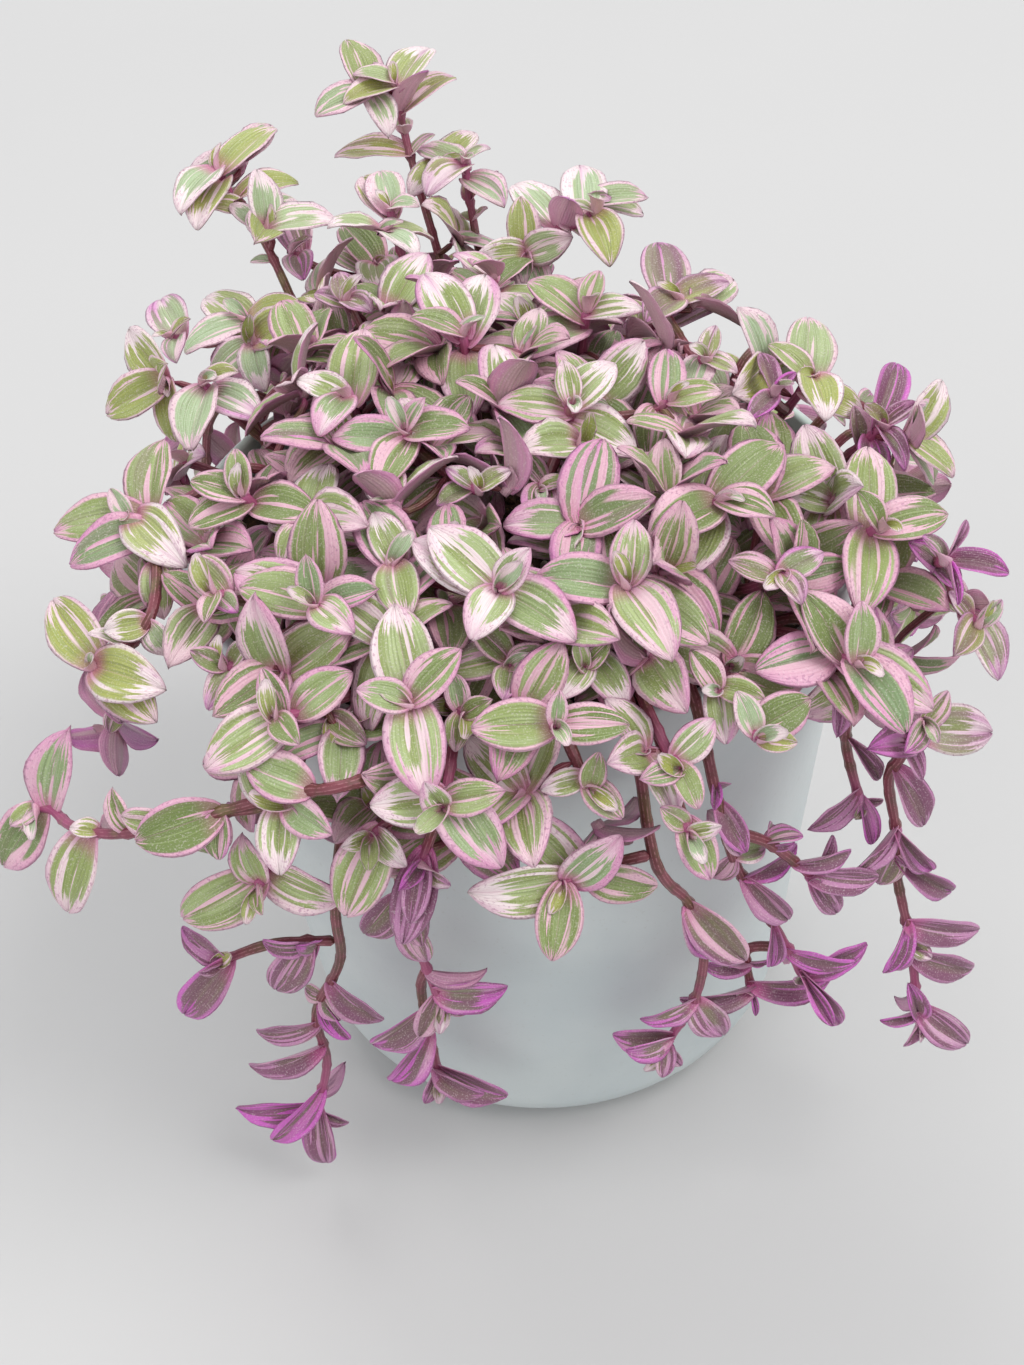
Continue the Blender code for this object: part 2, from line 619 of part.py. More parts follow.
def grow_stem(shoot, heart, facing, draw, strength, root):
    """Return the points of a stem from its root hole to its heart."""
    foot = root + draw_vector(draw, ROOT_NUDGE * strength, 2)
    if foot.length > ROOT_BED_RADIUS:
        foot = foot * (ROOT_BED_RADIUS / foot.length)
    low = Vector((foot.x, foot.y, SOIL_TOP - ROOT_DEPTH))
    mouth = Vector((foot.x, foot.y, SOIL_TOP + MOUTH_HEIGHT))
    marks = [at_level(mark[:2], mark[2]) for mark in shoot.via]
    aim = (marks + [heart])[0]
    places = [mouth]
    if shoot.over_rim:
        places += rim_places(aim)
    elif aim.z < POT_HEIGHT + LOW_HEART:
        places += rim_places(aim)[:1]
    places += marks
    places.append(heart)
    if len(places) == 2 and strength:
        places.insert(1, (mouth + heart) / 2.0 + draw_vector(draw, MIDDLE_NUDGE))
    return [low] + straightened(smooth_path(places, UP, stem_end(places, heart, facing)))


def grow_fork(shoot, heart, facing, draw, strength, parent):
    """Return the points of a side shoot, from a joint of another's stem to its heart."""
    marks = [at_level(mark[:2], mark[2]) for mark in shoot.via]
    aim = (marks + [heart])[0]
    wanted = FORK_LENGTH_TO_MARK if marks else FORK_LENGTH
    joints = [joint for joint, _ in joints_of(parent.path, FORK_SPACING)]
    joints.sort(key=lambda joint: abs((joint - aim).length - wanted))
    start = joints[min(int(strength * 3.0), len(joints) - 1)]
    places = [start] + marks + [heart]
    if strength and not marks:
        places.insert(1, (start + heart) / 2.0 + draw_vector(draw, FORK_NUDGE))
    first = (places[1] - start).normalized()
    return straightened(smooth_path(places, first, stem_end(places, heart, facing)))


def clear_way(shoot, stem_of, grow, start, thicket, node):
    """Return the first of a shoot's trial stems that is clear of every other node, or None."""
    draw = random.Random(shoot.name)
    heart = heart_of(shoot)
    facing = facing_of(shoot, heart)
    for trial in range(STEM_TRIALS):
        path = grow(shoot, heart, facing, draw, trial / TRIALS_PER_STRENGTH, stem_of)
        radii = [radius + STEM_CLEARANCE for radius in stem_radii(path)]
        if not thicket.meets(*tube(path[start:], radii[start:]), node, own=False):
            return Stem(shoot, node, path, facing, start == 1)
    return None


def grow_stems(shoots, thicket):
    """Return every shoot's stem, each clear of the pot and of the stems before it.

    A side shoot grows from its parent's stem. A shoot that finds no clear way up from the soil
    grows from the nearest stem that leaves it one.
    """
    rooted = [shoot for shoot in shoots if not shoot.fork_of]
    roots = dict(zip([shoot.name for shoot in rooted], spread_roots(rooted)))
    stems = {}
    for shoot in rooted + [shoot for shoot in shoots if shoot.fork_of]:
        stem = None
        if not shoot.fork_of:
            node = "leafy_stem_" + shoot.name
            stem = clear_way(shoot, roots[shoot.name], grow_stem, 1, thicket, node)
        if stem is None:
            heart = heart_of(shoot)
            near = sorted(stems.values(), key=lambda other: min((p - heart).length for p in other.path))
            near.sort(key=lambda other: other.shoot.name != shoot.fork_of)
            for parent in near[:PARENTS_TRIED]:
                stem = stem or clear_way(shoot, parent, grow_fork, 0, thicket, parent.node)
        if stem:
            thicket.add(*tube(stem.path, stem_radii(stem.path)), stem.node)
            stems[shoot.name] = stem
    return stems


def grown_leaf(base, chord, wish, length, width, rosy, draw):
    """Return a leaf along a chord whose face is turned as nearly as it can be to a wish."""
    face = (wish - chord * wish.dot(chord)).normalized()
    return Leaf(base, chord, face, length, width, draw.uniform(*LEAF_BEND), draw.uniform(*LEAF_FOLD),
                rosy, draw.random())


def leaf_to_pixel(base, facing, pixel, lift, rosy, draw):
    """Return a leaf whose tip shows at a pixel, lying about square to the way it faces."""
    ray = sight(pixel)
    slope = ray.dot(facing)
    anchor = base + facing * lift
    tip = EYE + ray * ((anchor - EYE).dot(facing) / slope)
    chord = tip - base
    length = min(max(chord.length, LEAF_SHORTEST), LEAF_LONGEST)
    width = min(length * LEAF_SLENDERNESS * draw.uniform(0.92, 1.08), LEAF_WIDEST)
    chord.normalize()
    return grown_leaf(base, chord, facing, length, width, rosy, draw)


def depth_of(place):
    """Return how far a place is from the eye, along the way that the eye looks."""
    return (place - EYE).dot(VIEW_FORWARD)


def hides(leaf, hearts):
    """Say whether a leaf shows in front of one of the hearts."""
    for along in (0.5, 1.0):
        place = leaf_surface(leaf, along, 0.0)[0]
        for heart in hearts:
            if depth_of(place) < depth_of(heart) and math.dist(seen_at(place), seen_at(heart)) < HEART_ROOM:
                return True
    return False


def settle(leaf, axis, node, thicket, hearts):
    """Return the leaf turned as little as it takes to clear everything and hide no heart, or None."""
    for size, lift, turn in itertools.product(SCALES, LIFTS, TURNS):
        trial = leaf.turned(axis, math.radians(turn), math.radians(lift), size)
        if leaf_surface(trial, 1.0, 0.0)[0].z < LOWEST_LEAF or hides(trial, hearts):
            continue
        if thicket.meets(*blade(trial, 0.0, LEAF_CLEARANCE), node, own=False):
            continue
        if thicket.meets(*blade(trial, ROOT_SHARE, LEAF_CLEARANCE * 0.5), node, own=True):
            continue
        return trial
    return None


def joints_of(path, spacing):
    """Return the joints of a stem, from its heart down, each with the stem's way there."""
    total = sum((other - one).length for one, other in zip(path, path[1:]))
    count = int(total / spacing - 0.5)
    if count < 2:
        return [down_stem(path, min(spacing, total / 2.0))]
    return [down_stem(path, spacing * (index + 1)) for index in range(count)]


def down_stem(path, distance):
    """Return the place on a stem at a distance below its heart, and the stem's direction there."""
    for one, other in zip(path[::-1], path[-2::-1]):
        span = (one - other).length
        if distance <= span:
            return one.lerp(other, distance / span), (one - other).normalized()
        distance -= span
    return path[1].copy(), (path[2] - path[1]).normalized()


def rosette_leaves(stem, draw):
    """Return the leaves of a shoot's rosette: the longest lowest on the stem."""
    leaves = []
    if stem.shoot.tips:
        tips = sorted(stem.shoot.tips, key=lambda tip: -math.dist(tip, seen_at(stem.path[-1])))
        for index, tip in enumerate(tips):
            base, _ = down_stem(stem.path, LEAF_STAGGER * (len(tips) - 1 - index) + TOP_LEAF_DOWN)
            lift = (0.06 + 0.07 * index) * LEAF_LENGTH
            leaves.append(leaf_to_pixel(base, stem.facing, tip, lift, stem.shoot.rosy, draw))
        return leaves
    turn = draw.uniform(0.0, math.tau)
    across = stem.facing.orthogonal().normalized()
    other = stem.facing.cross(across)
    for index in range(ROSETTE_LEAVES):
        angle = turn + index * math.radians(97.0) + draw.uniform(-0.2, 0.2)
        tilt = math.radians(4.0 + 9.0 * index + draw.uniform(-4.0, 4.0))
        flat = across * math.cos(angle) + other * math.sin(angle)
        chord = flat * math.cos(tilt) + stem.facing * math.sin(tilt)
        length = LEAF_LENGTH * (1.0 - 0.07 * index) * draw.uniform(0.94, 1.06)
        base, _ = down_stem(stem.path, LEAF_STAGGER * (ROSETTE_LEAVES - 1 - index) + TOP_LEAF_DOWN)
        leaves.append(grown_leaf(base, chord, stem.facing, length, length * LEAF_SLENDERNESS,
                                 stem.shoot.rosy, draw))
    return leaves


def side_leaf_to(stem, pixel, draw):
    """Return a leaf from the joint that suits a tip seen beside the stem, and the stem's way there."""
    best = None
    for joint, away in joints_of(stem.path, JOINT_SPACING):
        outward = (mound_outward(joint) * 0.5 + UP * 0.2 - VIEW_FORWARD * 0.5).normalized()
        leaf = leaf_to_pixel(joint, outward, pixel, 0.001, stem.shoot.rosy, draw)
        reach = (at_level(pixel, joint.z) - joint).length
        odd = abs(reach - LEAF_LENGTH * 0.9) + (0.006 if leaf.chord.dot(away) < 0.0 else 0.0)
        if best is None or odd < best[0]:
            best = (odd, leaf, away)
    return best[1], best[2]


def joint_leaves(stem, draw):
    """Return a leaf for each joint below the rosette, on alternate sides of the stem."""
    leaves = []
    side = None
    for joint, along in joints_of(stem.path, JOINT_SPACING):
        if mound_depth(joint) < INNER_SHARE and joint.z > POT_HEIGHT:
            break
        outward = mound_outward(joint)
        if side is None:
            side = along.cross(outward).normalized() * (1.0 if draw.random() < 0.5 else -1.0)
        side = (side - along * side.dot(along)).normalized() * -1.0
        turned = Matrix.Rotation(draw.uniform(-0.6, 0.6), 3, along) @ side
        pitch = math.radians(draw.uniform(18.0, 40.0))
        chord = (turned * math.cos(pitch) + along * math.sin(pitch) + outward * 0.25).normalized()
        wish = along * 0.5 + UP * 0.4 + outward * 0.5
        length = LEAF_LENGTH * draw.uniform(0.82, 1.04)
        rosy = min(stem.shoot.rosy + draw.uniform(0.0, 0.35), 1.0)
        leaf = grown_leaf(joint, chord, wish, length, length * LEAF_SLENDERNESS, rosy, draw)
        leaves.append((leaf, along))
    return leaves


def grow_leaves(stems, thicket):
    """Return the leaves of each node: rosettes first, then leaves along stems, up to the most."""
    leaves = {stem.node: [] for stem in stems.values()}
    draws = {name: random.Random(name + " leaves") for name in stems}
    marked = [stem.path[-1] for stem in stems.values() if stem.shoot.tips]
    count = 0

    def place(leaf, axis, node, hearts=()):
        settled = settle(leaf, axis, node, thicket, hearts)
        if settled is None:
            return 0
        thicket.add(*blade(settled), node)
        leaves[node].append(settled)
        return 1

    def place_rosette(name, stem, hearts=()):
        rosette = rosette_leaves(stem, draws[name])
        return sum(place(leaf, stem.facing, stem.node, hearts) for leaf in rosette)

    for name, stem in stems.items():
        if stem.shoot.tips or stem.shoot.over_rim:
            count += place_rosette(name, stem)
    for name, stem in stems.items():
        for pixel in stem.shoot.side_tips:
            count += place(*side_leaf_to(stem, pixel, draws[name]), stem.node)
        if stem.shoot.over_rim:
            for leaf, along in joint_leaves(stem, draws[name])[:FALL_LEAVES]:
                count += place(leaf, along, stem.node)
    for name, stem in stems.items():
        if not stem.shoot.tips and not stem.shoot.over_rim:
            count += place_rosette(name, stem, marked)
    others = [(name, stem) for name, stem in stems.items() if not stem.shoot.over_rim]
    rest = {name: joint_leaves(stem, draws[name]) for name, stem in others}
    for turn in range(JOINTS_FILLED):
        for name, joints in rest.items():
            if turn < len(joints) and count < MOST_LEAVES:
                count += place(*joints[turn], stems[name].node, marked)
    return leaves


def back_falls():
    """Return the shoots that hang over the rim behind the mound."""
    falls = []
    for index, (bearing, reach, height) in enumerate(BACK_FALLS):
        angle = math.radians(bearing)
        spot = (reach * math.cos(angle), reach * math.sin(angle), height)
        falls.append(Shoot(f"back_fall_{index + 1:02d}", spot=spot, rosy=0.6, over_rim=True))
    return falls


def in_mass(place):
    """Say whether a place shows within the mass of the foliage in the view."""
    x, y = seen_at(place)
    inside = False
    for one, other in zip(MASS, MASS[1:] + MASS[:1]):
        if (one[1] > y) != (other[1] > y):
            share = (y - one[1]) / (other[1] - one[1])
            inside ^= x < one[0] + (other[0] - one[0]) * share
    return inside


def lowered(spot):
    """Return a place lowered until it shows within the mass, or None where there is none."""
    outside = math.hypot(spot.x, spot.y) > POT_RIM_RADIUS + OUTSIDE_RIM
    for step in range(LOWERINGS):
        low = spot - UP * (LOWERING * step)
        if in_mass(low):
            return low if outside or low.z > POT_HEIGHT else None
    return None


def fill_shoots(shoots):
    """Return shoots that fill what the others leave bare, in pairs on a stem where they can be."""
    hearts = [heart_of(shoot) for shoot in shoots]
    nodes = sum(1 for shoot in shoots if not shoot.fork_of)
    draw = random.Random("fill")
    fills = []
    forked = set()
    for trial in range(FILL_TRIALS):
        lean = math.acos(1.0 - (1.0 - math.cos(FILL_LOWEST)) * (trial + 0.5) / FILL_TRIALS)
        angle = trial * GOLDEN_ANGLE
        out = Vector((math.sin(lean) * math.cos(angle), math.sin(lean) * math.sin(angle), math.cos(lean)))
        out *= draw.uniform(*FILL_INSET)
        spot = lowered(Vector((MOUND_RADIUS, MOUND_RADIUS, MOUND_RISE)) * out + UP * MOUND_MIDDLE)
        if spot is None or min((spot - heart).length for heart in hearts) < FILL_SPACING:
            continue
        hearts.append(spot)
        name = f"back_{len(fills) + 1:02d}"
        rosy = draw.uniform(0.1, 0.5)
        single = [fill for fill in fills if not fill.fork_of and fill.name not in forked]
        near = min(single, key=lambda fill: (Vector(fill.spot) - spot).length, default=None)
        if near and (Vector(near.spot) - spot).length < FORK_REACH:
            forked.add(near.name)
            fills.append(Shoot(name, spot=tuple(spot), rosy=rosy, fork_of=near.name))
        elif nodes < MOST_STEMS:
            nodes += 1
            fills.append(Shoot(name, spot=tuple(spot), rosy=rosy))
    return fills


def pot_outline(inset):
    """Return the (radius, height) outline of the pot's outside, moved in by a distance."""
    lean = math.atan2(POT_RIM_RADIUS - POT_BASE_RADIUS, POT_HEIGHT)
    middle = POT_BASE_RADIUS + POT_CORNER * (math.tan(lean) - 1.0 / math.cos(lean))
    points = [(middle, inset)]
    for step in range(1, CORNER_STEPS + 1):
        angle = -math.pi / 2.0 + (math.pi / 2.0 - lean) * step / CORNER_STEPS
        reach = POT_CORNER - inset
        points.append((middle + reach * math.cos(angle), POT_CORNER + reach * math.sin(angle)))
    return points


def wall_radius(height, inset):
    """Return the pot's radius at a height, moved in by a distance."""
    lean = math.atan2(POT_RIM_RADIUS - POT_BASE_RADIUS, POT_HEIGHT)
    return POT_BASE_RADIUS + height * math.tan(lean) - inset / math.cos(lean)


def lathed(outline):
    """Return the vertices and faces of a closed solid turned from an outline about the axis."""
    verts = []
    rings = []
    for radius, height in outline:
        if radius == 0.0:
            verts.append(Vector((0.0, 0.0, height)))
            rings.append([len(verts) - 1] * SIDES_ROUND)
            continue
        first = len(verts)
        for side in range(SIDES_ROUND):
            angle = math.tau * side / SIDES_ROUND
            verts.append(Vector((radius * math.cos(angle), radius * math.sin(angle), height)))
        rings.append(list(range(first, first + SIDES_ROUND)))
    faces = []
    for low, high in zip(rings, rings[1:]):
        for side in range(SIDES_ROUND):
            nxt = (side + 1) % SIDES_ROUND
            corners = dict.fromkeys((low[side], low[nxt], high[nxt], high[side]))
            faces.append(tuple(corners))
    return verts, faces


def pot_solid():
    """Return the pot: a lathed wall with a rounded foot and a rounded rim."""
    outside = pot_outline(0.0)
    inside = pot_outline(POT_WALL)
    rim = []
    half = POT_WALL / 2.0
    middle = wall_radius(POT_HEIGHT - half, half)
    for step in range(RIM_STEPS + 1):
        angle = math.pi * step / RIM_STEPS
        rim.append((middle + half * math.cos(angle), POT_HEIGHT - half + half * math.sin(angle)))
    return lathed([(0.0, 0.0)] + outside + rim + inside[::-1] + [(0.0, POT_WALL)])


def soil_solid():
    """Return the soil: it fills the pot's inside to a level top."""
    inset = POT_WALL + GAP
    top = [(wall_radius(SOIL_TOP, inset), SOIL_TOP), (0.0, SOIL_TOP)]
    return lathed([(0.0, inset)] + pot_outline(inset) + top)


def finish(name, colour, roughness):
    """Return a material of one colour and roughness."""
    material = bpy.data.materials.new(name)
    material.use_nodes = True
    shader = material.node_tree.nodes["Principled BSDF"]
    shader.inputs["Base Color"].default_value = (*colour, 1.0)
    shader.inputs["Roughness"].default_value = roughness
    shader.inputs["Metallic"].default_value = 0.0
    return material


def make_object(name, solid, material=None, collection=None):
    """Return a new object made of vertices and faces, its faces pointing out."""
    mesh = bpy.data.meshes.new(name)
    mesh.from_pydata([tuple(v) for v in solid[0]], [], solid[1])
    shape = bmesh.new()
    shape.from_mesh(mesh)
    bmesh.ops.recalc_face_normals(shape, faces=shape.faces)
    shape.to_mesh(mesh)
    shape.free()
    if material:
        mesh.materials.append(material)
    thing = bpy.data.objects.new(name, mesh)
    (collection or bpy.context.scene.collection).objects.link(thing)
    return thing


def combine(thing, operation, solids, solver):
    """Join solids to an object, or cut them out of it, with one Boolean, and apply it."""
    helpers = bpy.data.collections.new("helpers")
    bpy.context.scene.collection.children.link(helpers)
    for index, solid in enumerate(solids):
        make_object(f"helper_{index}", solid, collection=helpers)
    boolean = thing.modifiers.new("join", "BOOLEAN")
    boolean.operation = operation
    boolean.operand_type = "COLLECTION"
    boolean.collection = helpers
    boolean.solver = solver
    bpy.context.view_layer.update()
    evaluated = thing.evaluated_get(bpy.context.evaluated_depsgraph_get())
    result = bpy.data.meshes.new_from_object(evaluated)
    thing.modifiers.remove(boolean)
    old = thing.data
    thing.data = result
    bpy.data.meshes.remove(old)
    for helper in list(helpers.objects):
        bpy.data.objects.remove(helper)
    bpy.data.collections.remove(helpers)


def crosses_itself(mesh):
    """Say whether any two of a mesh's faces that share no corner cross."""
    shape = bmesh.new()
    shape.from_mesh(mesh)
    bmesh.ops.triangulate(shape, faces=shape.faces)
    shape.faces.ensure_lookup_table()
    tree = BVHTree.FromBMesh(shape)
    corners = [{vert.index for vert in face.verts} for face in shape.faces]
    shape.free()
    return any(not corners[one] & corners[other] for one, other in tree.overlap(tree) if one < other)


def thin(thing):
    """Fold away the smallest facets that joining leaves has left, as far as none then cross."""
    fewer = thing.modifiers.new("fewer facets", "DECIMATE")
    fewer.use_collapse_triangulate = True
    for share in KEPT_FACETS:
        fewer.ratio = share
        bpy.context.view_layer.update()
        shown = thing.evaluated_get(bpy.context.evaluated_depsgraph_get())
        thinned = bpy.data.meshes.new_from_object(shown)
        clean = not crosses_itself(thinned)
        bpy.data.meshes.remove(thinned)
        if clean:
            return
    thing.modifiers.remove(fewer)


def leafy_colour(leaves):
    """Return the colour of a leafy stem: from green to purple as its leaves are rosier."""
    rosy = sum(leaf.rosy for leaf in leaves) / max(len(leaves), 1)
    return (0.33 + 0.25 * rosy, 0.42 - 0.25 * rosy, 0.20 + 0.25 * rosy)


def build():
    """Model the pot, the soil and every leafy stem."""
    for thing in list(bpy.data.objects):
        bpy.data.objects.remove(thing)
    shoots = list(FALLS + CREST + CROWN) + back_falls()
    shoots += fill_shoots(shoots)
    pot = pot_solid()
    soil = soil_solid()
    thicket = Thicket()
    thicket.add(*pot, "pot")
    stems = grow_stems(shoots, thicket)
    thicket.add(*soil, "soil")
    leaves = grow_leaves(stems, thicket)
    make_object("pot", pot, finish("pot", (0.72, 0.78, 0.79), 0.45))
    ground = make_object("soil", soil, finish("soil", (0.05, 0.035, 0.025), 0.95))
    holes = []
    for stem in stems.values():
        if stem.rooted:
            ends = [stem.path[0] - UP * ROOT_GAP, stem.path[1] + UP * ROOT_DEPTH]
            holes.append(tube(ends, [STEM_RADIUS + ROOT_GAP] * 2))
    combine(ground, "DIFFERENCE", holes, "EXACT")
    for node in leaves:
        solids = [tube(stem.path, stem_radii(stem.path)) for stem in stems.values() if stem.node == node]
        solids += [blade(leaf) for leaf in leaves[node]]
        plant = make_object(node, solids[0], finish(node, leafy_colour(leaves[node]), 0.5))
        combine(plant, "UNION", solids[1:], "MANIFOLD")
        thin(plant)


if __name__ == "__main__":
    build()
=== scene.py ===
"""The looks of a potted turtle vine: striped leaves, juicy stems, a satin pot and its soil.

The plant grows here by the same rules, sizes and seeds as its solids, with fine leaves in place
of plain ones. The young leaves in its hearts and the leaves inside its mound are added to it.
"""

import itertools
import logging
import math
from collections.abc import Callable, Iterable, Iterator
from dataclasses import astuple, dataclass, field, replace
from enum import Enum
from random import Random

import bpy
import numpy as np
from mathutils import Matrix, Vector, noise
from mathutils.bvhtree import BVHTree


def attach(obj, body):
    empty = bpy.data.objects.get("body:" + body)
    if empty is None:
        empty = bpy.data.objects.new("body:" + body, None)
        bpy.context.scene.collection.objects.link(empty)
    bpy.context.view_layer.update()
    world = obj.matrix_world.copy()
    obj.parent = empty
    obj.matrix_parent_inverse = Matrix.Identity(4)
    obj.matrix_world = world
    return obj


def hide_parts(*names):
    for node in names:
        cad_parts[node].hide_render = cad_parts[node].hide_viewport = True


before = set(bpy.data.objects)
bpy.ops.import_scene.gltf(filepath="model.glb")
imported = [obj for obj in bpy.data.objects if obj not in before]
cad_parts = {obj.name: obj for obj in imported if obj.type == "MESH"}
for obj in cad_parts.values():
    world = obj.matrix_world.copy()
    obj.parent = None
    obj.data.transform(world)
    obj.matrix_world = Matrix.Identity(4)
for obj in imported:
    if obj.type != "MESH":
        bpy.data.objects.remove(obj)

log = logging.getLogger("turtle_vine")
UP = Vector((0.0, 0.0, 1.0))
GOLDEN_ANGLE = math.pi * (3.0 - math.sqrt(5.0))
LEAF_TO_LEAF = math.radians(97.0)

# A pair holds two numbers, an outline (radius, height) points, a solid its vertices and faces
Pair = tuple[float, float]
Outline = list[Pair]
Solid = tuple[list, list]


def turned(outline: Outline, sides: int) -> np.ndarray:
    """Turn an outline about the axis.

    Args:
        outline: The outline.
        sides: How many points go round.

    Returns:
        A ring of points for each point of the outline.
    """
    angles = math.tau * np.arange(sides) / sides
    radius, height = np.array(outline).T[..., None]
    axes = (radius * np.cos(angles), radius * np.sin(angles), height)
    return np.stack(np.broadcast_arrays(*axes), 2)


def strips(rings: int, sides: int) -> np.ndarray:
    """Join rings of points by strips of four-cornered faces.

    Args:
        rings: How many rings there are.
        sides: How many points each has.

    Returns:
        The corners of each face.
    """
    numbers = np.arange(rings * sides).reshape(rings, sides)
    after = np.roll(numbers, -1, 1)
    return np.stack([numbers[:-1], after[:-1], after[1:], numbers[1:]], 2).reshape(-1, 4)


@dataclass(frozen=True)
class PotSizes:
    """The pot, in metres. The origin is the middle of its flat underside."""

    height: float = 0.170
    rim_radius: float = 0.085
    base_radius: float = 0.071
    corner: float = 0.020
    wall: float = 0.003
    gap: float = 0.0003
    soil_top: float = 0.155
    sides: int = 32
    corner_steps: int = 4
    rim_steps: int = 4

    def lean(self) -> float:
        """Return the angle of the wall from upright."""
        return math.atan2(self.rim_radius - self.base_radius, self.height)

    def radius_at(self, height: float, inset: float) -> float:
        """Return the pot's radius at a height, moved in by a distance."""
        return self.base_radius + height * math.tan(self.lean()) - inset / math.cos(self.lean())

    def foot(self, inset: float) -> Outline:
        """Draw the outline of the rounded foot.

        Args:
            inset: How far it lies inside the pot's outside.

        Returns:
            The outline, from the underside up.
        """
        lean = self.lean()
        middle = self.base_radius + self.corner * (math.tan(lean) - 1.0 / math.cos(lean))
        reach = self.corner - inset
        points = [(middle, inset)]
        for step in range(1, self.corner_steps + 1):
            angle = -math.pi / 2.0 + (math.pi / 2.0 - lean) * step / self.corner_steps
            points.append((middle + reach * math.cos(angle), self.corner + reach * math.sin(angle)))
        return points

    def outline(self) -> Outline:
        """Draw the outline of the whole pot.

        Returns:
            The outline, from its axis underneath to its axis inside.
        """
        half = self.wall / 2.0
        middle = self.radius_at(self.height - half, half)
        rim = []
        for step in range(self.rim_steps + 1):
            angle = math.pi * step / self.rim_steps
            rim.append((middle + half * math.cos(angle),
                        self.height - half + half * math.sin(angle)))
        return [(0.0, 0.0)] + self.foot(0.0) + rim + self.foot(self.wall)[::-1] + [(0.0, self.wall)]

    def solid(self, outline: Outline) -> Solid:
        """Turn an outline that starts and ends on the axis into a closed solid."""
        points = turned(outline, self.sides).reshape(-1, 3)
        return points.tolist(), strips(len(outline), self.sides).tolist()


@dataclass
class View:
    """The view that the shoots' places are read in: 1024 by 1365 pixels, from the front and above.

    A pixel in it is an (x, y), with y down.
    """

    middle: Pair = (512.0, 682.5)
    focus: float = 1517.0
    distance: float = 0.420
    target: tuple[float, float, float] = (-0.0054, 0.0, 0.1107)
    elevation: float = math.radians(40.74)
    roll: float = math.radians(-4.49)

    def __post_init__(self) -> None:
        """Work out the view's place and its forward, right and up directions."""
        self.forward = Vector((0.0, math.cos(self.elevation), -math.sin(self.elevation)))
        level = Vector((1.0, 0.0, 0.0))
        upright = level.cross(self.forward)
        self.right = level * math.cos(self.roll) + upright * math.sin(self.roll)
        self.up = upright * math.cos(self.roll) - level * math.sin(self.roll)
        self.eye = Vector(self.target) - self.forward * self.distance

    def sight(self, pixel: tuple) -> Vector:
        """Return the direction of the sight line through a pixel."""
        across, down = ((here - middle) / self.focus for here, middle in zip(pixel, self.middle))
        return (self.forward + self.right * across - self.up * down).normalized()

    def depth(self, place: Vector) -> float:
        """Return how far in front of the eye a place lies."""
        return (place - self.eye).dot(self.forward)

    def seen_at(self, place: Vector) -> Pair:
        """Find the pixel at which a place shows.

        Args:
            place: The place.

        Returns:
            The pixel.
        """
        away = place - self.eye
        across, up, depth = (away.dot(way) for way in (self.right, self.up, self.forward))
        x, y = self.middle
        return x + self.focus * across / depth, y - self.focus * up / depth

    def at_level(self, pixel: tuple, level: float) -> Vector:
        """Return the place on a pixel's sight line that lies at a height above the table."""
        ray = self.sight(pixel)
        return self.eye + ray * ((level - self.eye.z) / ray.z)


@dataclass(frozen=True)
class Mound:
    """The mound of foliage: about half an ellipsoid on the pot's axis."""

    radius: float = 0.115
    rise: float = 0.050
    middle: float = 0.166

    def seen_at(self, pixel: tuple, rise: float) -> Vector:
        """Find where a pixel's sight line meets the mound, or passes it most closely.

        Args:
            pixel: The pixel.
            rise: How far the place is then moved towards the eye.

        Returns:
            The place.
        """
        squeeze = Vector((1.0 / self.radius, 1.0 / self.radius, 1.0 / self.rise))
        ray = VIEW.sight(pixel)
        start = (VIEW.eye - UP * self.middle) * squeeze
        step = ray * squeeze
        lead = step.dot(step)
        half = start.dot(step)
        rest = start.dot(start) - 1.0
        inside = max(half * half - lead * rest, 0.0)
        return VIEW.eye + ray * ((-half - math.sqrt(inside)) / lead - rise)

    def outward(self, place: Vector) -> Vector:
        """Return the direction that points out of the mound at a place."""
        flat = Vector((place.x, place.y, 0.0)) / self.radius**2
        return (flat + UP * ((place.z - self.middle) / self.rise**2)).normalized()

    def depth(self, place: Vector) -> float:
        """Return how far out a place lies: 0 at the mound's middle, 1 on its surface."""
        height = (place.z - self.middle) / self.rise
        return math.sqrt((place.x**2 + place.y**2) / self.radius**2 + height**2)

    def spread(self, count: int, lowest: float, share: Callable[[], float]) -> Iterator[Vector]:
        """Spread places evenly over the mound, from its top down.

        Args:
            count: How many there are.
            lowest: How far the last one leans from upright.
            share: Gives each one's share of the mound's size.

        Yields:
            The places.
        """
        for number in range(count):
            lean = math.acos(1.0 - (1.0 - math.cos(lowest)) * ((number + 0.5) / count))
            angle = number * GOLDEN_ANGLE
            out = Vector((math.sin(lean) * math.cos(angle), math.sin(lean) * math.sin(angle),
                          math.cos(lean))) * share()
            yield Vector((self.radius, self.radius, self.rise)) * out + UP * self.middle


@dataclass(frozen=True)
class StemSizes:
    """Juicy jointed stems, in metres: leaves and side shoots grow from their joints."""

    radius: float = 0.00135
    tip_radius: float = 0.00120
    sides: int = 4
    tolerance: float = 0.0008
    clearance: float = 0.0007
    trials: int = 72
    trials_per_strength: int = 24
    joint_spacing: float = 0.0115
    fork_spacing: float = 0.006
    fork_length: float = 0.020
    fork_length_to_mark: float = 0.010
    parents_tried: int = 5
    curve_steps: int = 24
    root_depth: float = 0.010
    root_spacing: float = 0.0125
    root_bed: float = 0.074
    root_reach: float = 0.60
    spreading_rounds: int = 60
    mouth: float = 0.0015
    over_rim: Pair = (0.001, 0.0075)
    past_rim: Pair = (0.015, -0.004)
    low_heart: float = 0.006
    hanging_heart: float = -0.030
    root_nudge: float = 0.006
    middle_nudge: float = 0.012
    fork_nudge: float = 0.006


